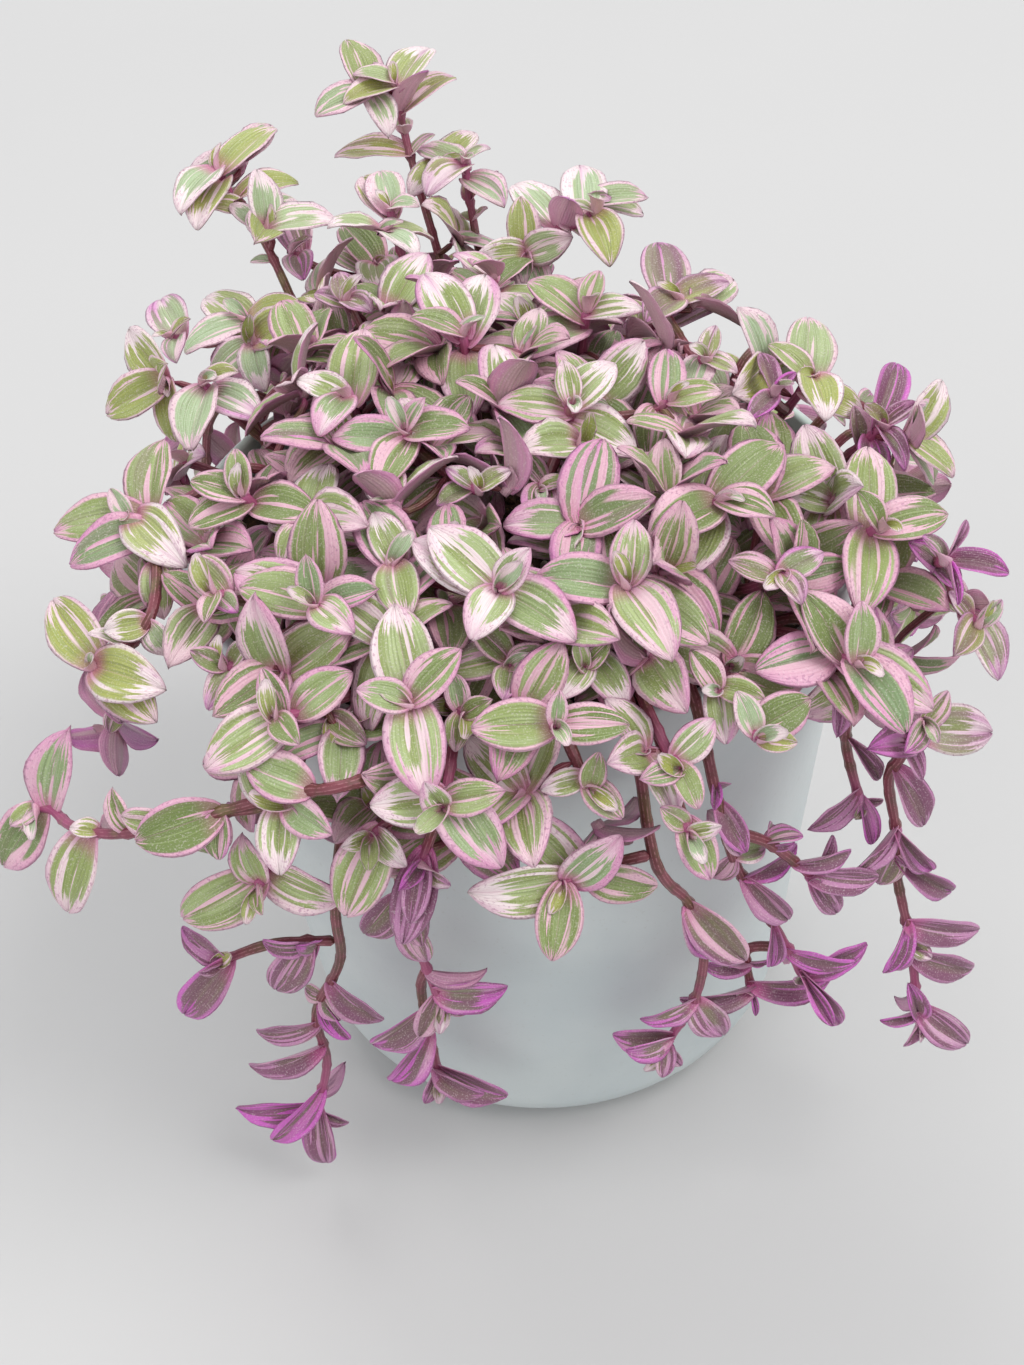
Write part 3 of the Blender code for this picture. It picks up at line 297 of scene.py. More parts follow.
@dataclass(frozen=True)
class LeafSizes:
    """Egg-shaped leaves, in metres: folded along the midrib and bent down to the tip.

    A leaf that meets something is turned by degrees, lifted by degrees or scaled.
    """

    length: float = 0.0175
    shortest: float = 0.0055
    longest: float = 0.0225
    slenderness: float = 0.64
    widest: float = 0.0125
    thickness: float = 0.0012
    clearance: float = 0.00045
    swell: float = 0.62
    taper: float = 0.86
    bend: Pair = (0.35, 0.75)
    fold: Pair = (0.30, 0.55)
    fold_lost: float = 0.55
    rows: tuple[float, ...] = (0.20, 0.47, 0.76)
    small_rows: tuple[float, ...] = (0.32, 0.68)
    small: float = 0.0172
    stagger: float = 0.0016
    top_down: float = 0.0006
    root_forward: float = 0.0004
    root_share: float = 0.22
    lowest: float = 0.003
    turns: tuple[int, ...] = (0, 9, -9, 20, -20, 34, -34)
    lifts: tuple[int, ...] = (0, 12, -12, 24, -24, 38, 52)
    scales: tuple[float, ...] = (1.0, 0.9, 0.8)


POT = PotSizes()
VIEW = View()
MOUND = Mound()
STEM = StemSizes()
LEAF = LeafSizes()


@dataclass
class Shoot:
    """A leafy shoot: where its heart and the tips of its leaves show in the view.

    rosy is how purple it is, from 0 to 1. via holds (x, y, height) of places that the stem
    passes, from its root on. level is the height of the heart, and without one it lies on the
    mound, moved by rise towards the eye. A shoot with fork_of grows from another's stem.
    """

    heart: tuple = ()
    rosy: float = 0.2
    tips: tuple = ()
    side_tips: tuple = ()
    via: tuple = ()
    level: float = 0.0
    rise: float = 0.0
    fork_of: str = ""
    spot: tuple = ()
    over_rim: bool = False
    name: str = ""

    def fills(self) -> bool:
        """Say whether the shoot only fills the mound."""
        return not (self.tips or self.over_rim)

    def marks(self) -> list[Vector]:
        """Return the places that the stem passes."""
        return [VIEW.at_level(mark[:2], mark[2]) for mark in self.via]

    def place(self) -> Vector:
        """Find where the shoot's heart is.

        Returns:
            The place.
        """
        if self.spot:
            return Vector(self.spot)
        if self.level:
            return VIEW.at_level(self.heart, self.level)
        return MOUND.seen_at(self.heart, self.rise)

    def facing(self) -> Vector:
        """Find the direction that the shoot's rosette faces.

        Returns:
            The direction.
        """
        outward = MOUND.outward(self.place())
        if self.spot:
            return (outward * 0.65 + UP * 0.35).normalized()
        return (outward * 0.45 + UP * 0.25 - VIEW.forward * 0.45).normalized()


def numbered(family: str, *shoots: Shoot) -> tuple[Shoot, ...]:
    """Name the shoots of a family by their numbers, from 01 on."""
    return tuple(replace(shoot, name=f"{family}_{number:02d}")
                 for number, shoot in enumerate(shoots, 1))


LEFT_ARM = Shoot(
    (36, 806), 0.30, ((66, 729), (2, 867), (12, 826)),
    ((110, 789), (67, 918), (122, 815), (141, 838), (215, 862), (176, 872), (240, 770)),
    via=((366, 779, 0.178), (300, 792, 0.174), (240, 806, 0.168), (173, 824, 0.162),
         (110, 834, 0.156), (66, 824, 0.152)),
    level=0.149, name="left_arm",
)

LEFT_FALLS = numbered(
    "left_fall",
    Shoot((317, 1110), 0.85, ((291, 1177), (335, 1218), (222, 1108), (335, 1150)), ((229, 1071),
          (256, 1032), (385, 1020), (350, 1040), (270, 1130)), via=((338, 880, 0.14),
          (334, 911, 0.13), (340, 960, 0.106), (316, 1012, 0.08), (327, 1061, 0.054)), level=0.03),
    Shoot((218, 962), 0.75, ((190, 968), (167, 1030), (172, 938)), ((274, 990), (262, 925)),
          via=((271, 944, 0.118),), level=0.112, fork_of="left_fall_01"),
    Shoot((440, 1000), 0.70, ((508, 989), (470, 1012), (420, 1038)), ((365, 935), (428, 962)),
          via=((400, 890, 0.136), (415, 940, 0.112)), level=0.09),
    Shoot((438, 1072), 0.75, ((494, 1078), (509, 1096), (425, 1104)), ((372, 1045), (392, 1082)),
          via=((421, 983, 0.092), (431, 1040, 0.064)), level=0.046, fork_of="left_fall_03"),
)

RIGHT_FALLS = numbered(
    "right_fall",
    Shoot((664, 1046), 0.70, ((612, 1036), (612, 1052), (680, 1070), (662, 1078)), ((722, 957),
          (722, 1037), (744, 950), (640, 1020)), via=((654, 857, 0.146), (687, 900, 0.124),
          (704, 947, 0.102), (694, 1001, 0.076)), level=0.056),
    Shoot((804, 977), 0.90, ((857, 1042), (873, 962), (830, 1020)), ((853, 946), (771, 967),
          (790, 920), (808, 862), (742, 850)), via=((722, 820, 0.15), (740, 872, 0.124),
          (767, 914, 0.104), (790, 950, 0.09)), level=0.08),
    Shoot((751, 990), 0.85, ((832, 978), (680, 1010), (756, 1016)), ((700, 960), (770, 960)),
          via=((747, 950, 0.086),), level=0.07, fork_of="right_fall_02"),
    Shoot((814, 877), 0.90, ((811, 845), (880, 876), (860, 905)), ((780, 845), (852, 850)),
          via=((762, 840, 0.14),), level=0.118, fork_of="right_fall_02"),
    Shoot((860, 802), 0.85, ((809, 830), (880, 815), (872, 845)), ((838, 737), (880, 780)),
          via=((846, 715, 0.164), (846, 745, 0.15)), level=0.132, fork_of="crown_21"),
    Shoot((918, 1021), 0.88, ((880, 1022), (901, 988), (909, 1048), (968, 1045)), ((952, 893),
          (933, 862), (884, 974), (988, 933), (973, 970), (916, 780), (850, 874), (925, 826)),
          via=((898, 735, 0.16), (889, 775, 0.146), (896, 834, 0.124), (896, 880, 0.108),
          (906, 918, 0.094), (914, 970, 0.076)), level=0.06),
    Shoot((925, 722), 0.55, ((994, 731), (948, 690), (905, 752)), level=0.166),
)

CREST = numbered(
    "crest",
    Shoot((395, 82), 0.40, ((439, 36), (343, 103), (353, 73)), ((457, 75), (331, 154),
          (436, 140)), via=((408, 147, 0.218),), level=0.237),
    Shoot((216, 168), 0.15, ((281, 121), (168, 227), (176, 266)), ((299, 182), (231, 214),
          (250, 262)), via=((291, 300, 0.196), (261, 235, 0.21)), level=0.222),
    Shoot((291, 251), 0.65, ((286, 210), (283, 283), (312, 236)), fork_of="crest_04"),
    Shoot((376, 262), 0.15, ((309, 237), (438, 282), (335, 212), (398, 300))),
    Shoot((389, 207), 0.25, ((343, 141), (402, 168), (420, 205)), level=0.218),
    Shoot((464, 160), 0.35, ((425, 195), (490, 148), (412, 152), (505, 205)), level=0.216),
    Shoot((595, 211), 0.30, ((575, 145), (613, 272), (568, 205)), ((499, 171), (551, 262)),
          via=((523, 275, 0.20), (535, 240, 0.21)), level=0.218),
    Shoot((247, 318), 0.15, ((180, 281), (183, 352), (320, 353), (304, 312))),
    Shoot((170, 335), 0.50, ((160, 298), (176, 362), (190, 318)), rise=-0.006, fork_of="crest_08"),
    Shoot((202, 382), 0.35, ((188, 451), (262, 420), (238, 372))),
    Shoot((346, 395), 0.20, ((362, 320), (318, 436), (296, 380))),
    Shoot((405, 428), 0.15, ((331, 436), (470, 428), (380, 492), (425, 398))),
    Shoot((462, 333), 0.35, ((432, 252), (494, 252), (468, 420), (410, 318))),
    Shoot((346, 300), 0.60, ((315, 292), (372, 312), (338, 272)), fork_of="crest_04"),
    Shoot((587, 308), 0.15, ((527, 281), (643, 308), (500, 362), (600, 270))),
    Shoot((679, 298), 0.60, ((655, 241), (645, 322), (706, 262)), ((792, 238), (774, 290)),
          via=((643, 345, 0.198),)),
    Shoot((706, 358), 0.45, ((690, 396), (715, 325), (738, 372)), ((726, 392),),
          fork_of="crest_16"),
    Shoot((814, 374), 0.15, ((768, 344), (864, 416), (808, 316), (826, 420))),
    Shoot((774, 392), 0.85, ((762, 352), (748, 420), (796, 372)), fork_of="crest_18"),
    Shoot((885, 425), 0.80, ((897, 362), (918, 402), (874, 490), (905, 470))),
    Shoot((571, 402), 0.15, ((497, 404), (637, 455), (617, 364), (562, 360))),
    Shoot((671, 400), 0.30, ((650, 460), (668, 348), (722, 392)), rise=-0.006, fork_of="crest_21"),
)

CROWN = numbered(
    "crown",
    Shoot((720, 499), 0.15, ((650, 540), (780, 443), (776, 515), (684, 580)), ((726, 430),
          (655, 478))),
    Shoot((881, 527), 0.15, ((872, 430), (949, 515), (862, 615), (858, 490))),
    Shoot((784, 573), 0.55, ((728, 560), (824, 552), (802, 604))),
    Shoot((627, 583), 0.15, ((533, 579), (635, 519), (675, 659), (709, 645)), ((600, 520),)),
    Shoot((500, 588), 0.12, ((440, 517), (402, 530), (577, 640), (530, 548), (470, 640))),
    Shoot((313, 602), 0.15, ((237, 588), (199, 557), (353, 634), (378, 590), (305, 555))),
    Shoot((212, 592), 0.45, ((178, 575), (238, 612), (205, 622)), fork_of="crown_06"),
    Shoot((240, 493), 0.12, ((188, 527), (318, 514), (190, 480), (236, 448))),
    Shoot((128, 519), 0.30, ((161, 439), (174, 576), (52, 534), (110, 488)),
          via=((262, 470, 0.196),)),
    Shoot((93, 668), 0.35, ((52, 598), (156, 722), (165, 690)), ((75, 575), (160, 612)),
          via=((152, 612, 0.19),), level=0.18, fork_of="crown_09"),
    Shoot((392, 563), 0.30, ((362, 500), (410, 505), (405, 622)), rise=-0.008, fork_of="crown_05"),
    Shoot((480, 490), 0.50, ((445, 468), (512, 470), (436, 505)), rise=-0.006, fork_of="crest_12"),
    Shoot((540, 490), 0.50, ((520, 452), (568, 480), (540, 530)), rise=-0.008, fork_of="crest_21"),
    Shoot((408, 703), 0.15, ((356, 690), (462, 650), (425, 800), (392, 604))),
    Shoot((274, 718), 0.12, ((204, 770), (353, 672), (262, 668), (298, 745))),
    Shoot((289, 803), 0.20, ((252, 738), (279, 876), (320, 850)), fork_of="crown_15"),
    Shoot((256, 890), 0.15, ((178, 924), (345, 900), (240, 835), (262, 915)), level=0.146),
    Shoot((442, 808), 0.25, ((369, 806), (503, 868), (505, 792), (420, 770))),
    Shoot((555, 726), 0.15, ((470, 730), (630, 726), (560, 690))),
    Shoot((561, 885), 0.12, ((511, 802), (623, 836), (658, 888), (466, 893), (552, 962))),
    Shoot((858, 663), 0.12, ((755, 672), (804, 590), (945, 712), (905, 735), (862, 600))),
    Shoot((368, 838), 0.25, ((345, 918), (388, 880), (340, 850)), rise=-0.01, fork_of="crown_18"),
    Shoot((420, 866), 0.90, ((436, 922), (382, 880), (402, 958)), rise=-0.008, fork_of="crown_18"),
    Shoot((718, 690), 0.25, ((766, 700), (690, 650), (725, 745)), rise=-0.008),
    Shoot((760, 740), 0.25, ((812, 700), (798, 742), (738, 690)), rise=-0.004, fork_of="crown_24"),
    Shoot((680, 770), 0.25, ((716, 720), (640, 778), (698, 810)), rise=-0.004),
    Shoot((690, 835), 0.35, ((712, 880), (660, 808), (722, 826)), fork_of="crown_26"),
    Shoot((590, 790), 0.35, ((540, 790), (622, 820), (600, 752)), rise=-0.008, fork_of="crown_19"),
    Shoot((510, 668), 0.45, ((470, 620), (548, 650), (505, 700), (440, 672)), rise=-0.01,
          fork_of="crown_05"),
    Shoot((585, 668), 0.30, ((550, 645), (627, 706), (560, 700), (610, 640)), rise=-0.008,
          fork_of="crown_04"),
    Shoot((465, 715), 0.30, ((452, 672), (492, 700), (455, 752)), rise=-0.008, fork_of="crown_14"),
    Shoot((222, 668), 0.50, ((190, 650), (252, 640), (200, 706), (262, 690)), rise=-0.006,
          fork_of="crown_06"),
    Shoot((330, 720), 0.45, ((300, 760), (366, 745), (322, 672)), rise=-0.01, fork_of="crown_15"),
    Shoot((980, 625), 0.55, ((949, 592), (1003, 600), (1000, 680), (955, 655)), level=0.178),
    Shoot((945, 560), 0.95, ((958, 605), (1010, 572), (968, 520)), level=0.19, fork_of="crown_34"),
)

# Shoots behind the mound hang over the rim too: angle round the pot in degrees, reach from its
# axis and height of the heart
BACK_FALLS = (
    (62.0, 0.104, 0.112),
    (104.0, 0.106, 0.096),
    (148.0, 0.108, 0.122),
    (14.0, 0.112, 0.104),
    (188.0, 0.112, 0.118),
)

# What fills the mound shows within this outline of its mass in the view
MASS = (
    (272, 330), (330, 270), (400, 240), (480, 250), (560, 290), (640, 330), (720, 385), (790, 440),
    (860, 450), (900, 490), (925, 560), (930, 640), (890, 680), (800, 690), (750, 735), (690, 800),
    (640, 860), (520, 872), (400, 870), (300, 880), (240, 860), (250, 770), (215, 700), (190, 640),
    (140, 580), (140, 510), (240, 460), (262, 400),
)


def in_mass(place: Vector) -> bool:
    """Say whether a place shows within the mass of the foliage in the view.

    Args:
        place: The place.

    Returns:
        Whether it does.
    """
    x, y = VIEW.seen_at(place)
    inside = False
    for one, other in zip(MASS, MASS[1:] + MASS[:1]):
        if (one[1] > y) != (other[1] > y):
            share = (y - one[1]) / (other[1] - one[1])
            inside ^= x < one[0] + (other[0] - one[0]) * share
    return inside


def swung(about: Vector, angle: float, tilt: float) -> Vector:
    """Find a direction round another.

    Args:
        about: The other direction.
        angle: How far round it.
        tilt: How far it is tilted towards the other.

    Returns:
        The direction.
    """
    across = about.orthogonal().normalized()
    flat = across * math.cos(angle) + about.cross(across) * math.sin(angle)
    return flat * math.cos(tilt) + about * math.sin(tilt)


def half_width(along: float | np.ndarray) -> float | np.ndarray:
    """Return a leaf's half width at a share of its length, 1 at its widest."""
    widest = LEAF.swell / (LEAF.swell + LEAF.taper)
    return (along / widest) ** LEAF.swell * ((1.0 - along) / (1.0 - widest)) ** LEAF.taper


@dataclass
class Leaf:
    """One leaf: where it grows, where its chord points, its face, size, bend and fold."""

    base: Vector
    chord: Vector
    face: Vector
    length: float
    width: float
    bend: float
    fold: float
    rosy: float
    seed: float
    # 1 for the leaves along the stems inside the mound, which their finish darkens: partly their
    # age, partly painted shade
    old: float = 0.0

    @classmethod
    def grown(cls, base: Vector, chord: Vector, wish: Vector, length: float, rosy: float,
              draw: Random, width: float = 0.0) -> "Leaf":
        """Grow a leaf along a chord, with its face turned as nearly as it can be to a wish.

        Args:
            base: Its root.
            chord: Its direction.
            wish: Which way its face would look.
            length: Its length.
            rosy: How purple it is, from 0 to 1.
            draw: The random numbers.
            width: Its width, unless it is the usual one.

        Returns:
            The leaf.
        """
        face = (wish - chord * wish.dot(chord)).normalized()
        return cls(base, chord, face, length, width or length * LEAF.slenderness,
                   draw.uniform(*LEAF.bend), draw.uniform(*LEAF.fold), rosy, draw.random())

    @classmethod
    def to_pixel(cls, base: Vector, facing: Vector, pixel: tuple, lift: float, rosy: float,
                 draw: Random) -> "Leaf":
        """Grow a leaf whose tip shows at a pixel, lying about square to the way it faces.

        Args:
            base: Its root.
            facing: Which way it faces.
            pixel: Where its tip shows.
            lift: How far the tip is raised.
            rosy: How purple it is.
            draw: The random numbers.

        Returns:
            The leaf.
        """
        ray = VIEW.sight(pixel)
        away = base + facing * lift - VIEW.eye
        chord = VIEW.eye + ray * (away.dot(facing) / ray.dot(facing)) - base
        length = min(max(chord.length, LEAF.shortest), LEAF.longest)
        width = min(length * LEAF.slenderness * draw.uniform(0.92, 1.08), LEAF.widest)
        chord.normalize()
        return cls.grown(base, chord, facing, length, rosy, draw, width)

    def turned(self, axis: Vector, turn: float, lift: float, scale: float) -> "Leaf":
        """Turn this leaf about the stem, lift it at its root and scale it.

        Args:
            axis: The stem's direction.
            turn: The angle about the stem.
            lift: The angle at the root.
            scale: The new share of its size.

        Returns:
            The changed leaf.
        """
        about = Matrix.Rotation(turn, 3, axis)
        chord = about @ self.chord
        face = about @ self.face
        tip_up = Matrix.Rotation(lift, 3, face.cross(chord).normalized() * -1.0)
        return replace(self, chord=tip_up @ chord, face=tip_up @ face, length=self.length * scale,
                       width=self.width * scale)

    def midrib(self, along: float) -> tuple[Vector, Vector]:
        """Find a place on the midrib, which is an arc over the chord.

        Args:
            along: The share of the length.

        Returns:
            The place and its normal.
        """
        radius = self.length / (2.0 * math.sin(self.bend / 2.0))
        start = self.chord * math.cos(self.bend / 2.0) + self.face * math.sin(self.bend / 2.0)
        rise = self.face * math.cos(self.bend / 2.0) - self.chord * math.sin(self.bend / 2.0)
        angle = self.bend * along
        place = self.base + (start * math.sin(angle) - rise * (1.0 - math.cos(angle))) * radius
        return place, rise * math.cos(angle) + start * math.sin(angle)

    def tip(self) -> Vector:
        """Return the place of the tip."""
        return self.surface(1.0, 0.0)[0]

    def surface(self, along: float, across: float) -> tuple[Vector, Vector]:
        """Find a place on the leaf's middle surface.

        Args:
            along: The share of the length.
            across: From -1 at one margin to 1 at the other.

        Returns:
            The place and its normal.
        """
        place, normal = self.midrib(along)
        side = self.chord.cross(self.face)
        reach = self.width / 2.0 * float(half_width(along))
        fold = self.fold * (1.0 - LEAF.fold_lost * along)
        lift = abs(across) * (0.4 + 0.6 * abs(across))
        out = side * (across * reach * math.cos(fold))
        return place + out + normal * (lift * reach * math.sin(fold)), normal

    def plain(self, start: float = 0.0, grow: float = 0.0) -> Solid:
        """Model the plain leaf that stands for this one when its clearance is tested.

        Args:
            start: The share left off at the root.
            grow: How much larger it is all round.

        Returns:
            The solid, closed.
        """
        half = LEAF.thickness / 2.0 + grow
        side = self.chord.cross(self.face)
        verts = [self.surface(start, 0.0)[0] + self.chord * LEAF.root_forward]
        for along in LEAF.rows if self.length > LEAF.small else LEAF.small_rows:
            if along >= start:
                left, right = (self.surface(along, across)[0] for across in (-1.0, 1.0))
                middle, normal = self.surface(along, 0.0)
                verts += [left - side * grow, middle + normal * half,
                          right + side * grow, middle - normal * half]
        verts.append(self.tip() + self.chord * grow)
        end = len(verts) - 1
        faces = []
        for i, j in ((0, 1), (1, 2), (2, 3), (3, 0)):
            faces += [(0, 1 + j, 1 + i), (end - 4 + i, end - 4 + j, end)]
            for ring in range(1, end - 4, 4):
                after = ring + 4
                near, far = (ring + i, after + j) if i % 2 else (ring + j, after + i)
                faces += [(ring + i, ring + j, far), (near, after + j, after + i)]
        return verts, faces


def tube(path: list[Vector], radii: list[float]) -> Solid:
    """Model a plain closed tube.

    Args:
        path: The points of its axis.
        radii: Its radius at each of them.

    Returns:
        The solid.
    """
    sides = STEM.sides
    verts = []
    side = (path[1] - path[0]).normalized().orthogonal().normalized()
    for index, (place, radius) in enumerate(zip(path, radii)):
        before = path[max(index - 1, 0)]
        after = path[min(index + 1, len(path) - 1)]
        heading = (after - before).normalized()
        side = (side - heading * side.dot(heading)).normalized()
        other = heading.cross(side)
        for angle in (math.tau * corner / sides for corner in range(sides)):
            verts.append(place + (side * math.cos(angle) + other * math.sin(angle)) * radius)
    faces = []
    for low, nxt, above, beside in strips(len(path), sides).tolist():
        faces += [(low, nxt, above), (low, above, beside)]
    last = (len(path) - 1) * sides
    for i in range(1, sides - 1):
        faces += [(0, i + 1, i), (last, last + i, last + i + 1)]
    return verts, faces


def plain_stem(path: list[Vector], grow: float = 0.0, skip: int = 0) -> Solid:
    """Model a stem plainly.

    Args:
        path: Its path.
        grow: How much thicker it is all round.
        skip: How many first points it leaves off.

    Returns:
        The solid.
    """
    shrink = STEM.tip_radius - STEM.radius
    radii = [STEM.radius + shrink * i / (len(path) - 1) + grow for i in range(len(path))]
    return tube(path[skip:], radii[skip:])


class Thicket:
    """Everything placed so far, so that what is placed next can keep clear of it."""

    most = 8192

    def __init__(self) -> None:
        """Start with nothing placed, and with room for the most solids."""
        self.trees: list[BVHTree] = []
        self.owners: list[str] = []
        self.lows, self.highs = np.zeros((2, self.most, 3))

    def add(self, solid: Solid, owner: str) -> None:
        """Add a solid.

        Args:
            solid: The solid.
            owner: The node that it belongs to.
        """
        corners = np.array(solid[0])
        self.lows[len(self.trees)] = corners.min(0)
        self.highs[len(self.trees)] = corners.max(0)
        self.trees.append(BVHTree.FromPolygons(*solid))
        self.owners.append(owner)

    def meets(self, solid: Solid, owner: str, own: bool = False) -> bool:
        """Test whether a solid crosses one that is placed.

        Args:
            solid: The solid.
            owner: The node that it belongs to.
            own: Whether to test it against that node, and not the others.

        Returns:
            Whether it crosses one.
        """
        corners = np.array(solid[0])
        count = len(self.trees)
        over = (self.lows[:count] <= corners.max(0)).all(1)
        under = (self.highs[:count] >= corners.min(0)).all(1)
        near = [index for index in np.nonzero(over & under)[0]
                if (self.owners[index] == owner) == own]
        tree = BVHTree.FromPolygons(*solid) if near else None
        return any(tree.overlap(self.trees[index]) for index in near)


def bridge(one: Vector, leave: Vector, other: Vector, arrive: Vector, t: float) -> Vector:
    """Find a place on a smooth curve from one place to another. Arrays will do too.

    Args:
        one: The first place.
        leave: Which way, and how strongly, the curve leaves it.
        other: The second place.
        arrive: Which way, and how strongly, the curve arrives there.
        t: The share of the way.

    Returns:
        The place.
    """
    a, b = (1.0 + 2.0 * t) * (1.0 - t) ** 2, t * (1.0 - t) ** 2
    c, d = t * t * (3.0 - 2.0 * t), t * t * (t - 1.0)
    return one * a + leave * b + other * c + arrive * d


def smooth_path(places: list[Vector], first: Vector, last: Vector) -> list[Vector]:
    """Draw a smooth curve through places.

    Args:
        places: The places.
        first: Which way the curve sets out.
        last: Which way it arrives.

    Returns:
        Closely spaced points of the curve.
    """
    ways = [(after - before) * 0.5 for before, after in zip(places, places[2:])]
    ways.insert(0, first * (places[1] - places[0]).length)
    ways.append(last * (places[-1] - places[-2]).length)
    steps = [(step + 1) / STEM.curve_steps for step in range(STEM.curve_steps)]
    return places[:1] + [bridge(one, leave, other, arrive, step) for one, leave, other, arrive
                         in zip(places, ways, places[1:], ways[1:]) for step in steps]


def straightened(points: list[Vector]) -> list[Vector]:
    """Thin a path out to the fewest points that keep it within the stem's tolerance.

    Args:
        points: The path.

    Returns:
        The points that are kept.
    """
    start, end = points[0], points[-1]
    line = (end - start).normalized()
    worst, where = 0.0, 0
    for index in range(1, len(points) - 1):
        away = points[index] - start
        off = (away - line * away.dot(line)).length
        if off > worst:
            worst, where = off, index
    if worst <= STEM.tolerance:
        return [start, end]
    return straightened(points[: where + 1])[:-1] + straightened(points[where:])


def nudge(draw: Random, size: float, count: int = 3) -> Vector:
    """Return a random vector of 2 or 3 numbers, each up to a size either way."""
    return Vector([draw.uniform(-size, size) for _ in range(count)])


@dataclass
class Stem:
    """A shoot's stem, from root to heart, and the node that it belongs to."""

    shoot: Shoot
    node: str
    path: list[Vector]
    facing: Vector

    def down(self, distance: float) -> tuple[Vector, Vector]:
        """Find a place below the heart.

        Args:
            distance: How far it is down the stem.

        Returns:
            The place and its direction.
        """
        path = self.path
        for one, other in zip(path[::-1], path[-2::-1]):
            span = (one - other).length
            if distance <= span:
                return one.lerp(other, distance / span), (one - other).normalized()
            distance -= span
        return path[1].copy(), (path[2] - path[1]).normalized()

    def joints(self, spacing: float) -> list[tuple[Vector, Vector]]:
        """Find the joints from the heart down.

        Args:
            spacing: The distance between them.

        Returns:
            The place of each, and the stem's direction there.
        """
        total = sum((other - one).length for one, other in zip(self.path, self.path[1:]))
        count = int(total / spacing - 0.5)
        if count < 2:
            return [self.down(min(spacing, total / 2.0))]
        return [self.down(spacing * (index + 1)) for index in range(count)]

    def course(self, places: list[Vector], first: Vector) -> list[Vector]:
        """Lead the stem through places: it turns to the light at its heart unless it hangs.

        Args:
            places: The places, with the heart last.
            first: Which way it sets out.

        Returns:
            The points of its path.
        """
        last = (places[-1] - places[-2]).normalized()
        if places[-1].z >= POT.height + STEM.hanging_heart:
            last = (self.facing * 0.6 + last * 0.4).normalized()
        return straightened(smooth_path(places, first, last))

    def from_soil(self, root: Vector, draw: Random, strength: float) -> list[Vector]:
        """Find a way for the stem up from the soil.

        Args:
            root: Where it would leave the soil.
            draw: The random numbers.
            strength: How much it varies.

        Returns:
            The points of its path.
        """
        foot = root + nudge(draw, STEM.root_nudge * strength, 2)
        if foot.length > STEM.root_bed:
            foot = foot * (STEM.root_bed / foot.length)
        low = Vector((foot.x, foot.y, POT.soil_top - STEM.root_depth))
        mouth = Vector((foot.x, foot.y, POT.soil_top + STEM.mouth))
        marks = self.shoot.marks() + [self.shoot.place()]
        bearing = Vector((marks[0].x, marks[0].y, 0.0)).normalized()
        rim = [bearing * (POT.rim_radius + out) + UP * (POT.height + up)
               for out, up in (STEM.over_rim, STEM.past_rim)]
        if not self.shoot.over_rim:
            rim = rim[:1] if marks[0].z < POT.height + STEM.low_heart else []
        places = [mouth] + rim + marks
        if len(places) == 2 and strength:
            places.insert(1, (mouth + marks[0]) / 2.0 + nudge(draw, STEM.middle_nudge))
        return [low] + self.course(places, UP)

    def from_stem(self, parent: "Stem", draw: Random, strength: float) -> list[Vector]:
        """Find a way for the stem from a joint of another.

        Args:
            parent: The other stem.
            draw: The random numbers.
            strength: How much it varies.

        Returns:
            The points of its path.
        """
        marks = self.shoot.marks() + [self.shoot.place()]
        wanted = STEM.fork_length_to_mark if self.shoot.via else STEM.fork_length
        joints = [joint for joint, _ in parent.joints(STEM.fork_spacing)]
        joints.sort(key=lambda joint: abs((joint - marks[0]).length - wanted))
        start = joints[min(int(strength * 3.0), len(joints) - 1)]
        places = [start] + marks
        if strength and len(places) == 2:
            places.insert(1, (start + marks[0]) / 2.0 + nudge(draw, STEM.fork_nudge))
        return self.course(places, (places[1] - start).normalized())


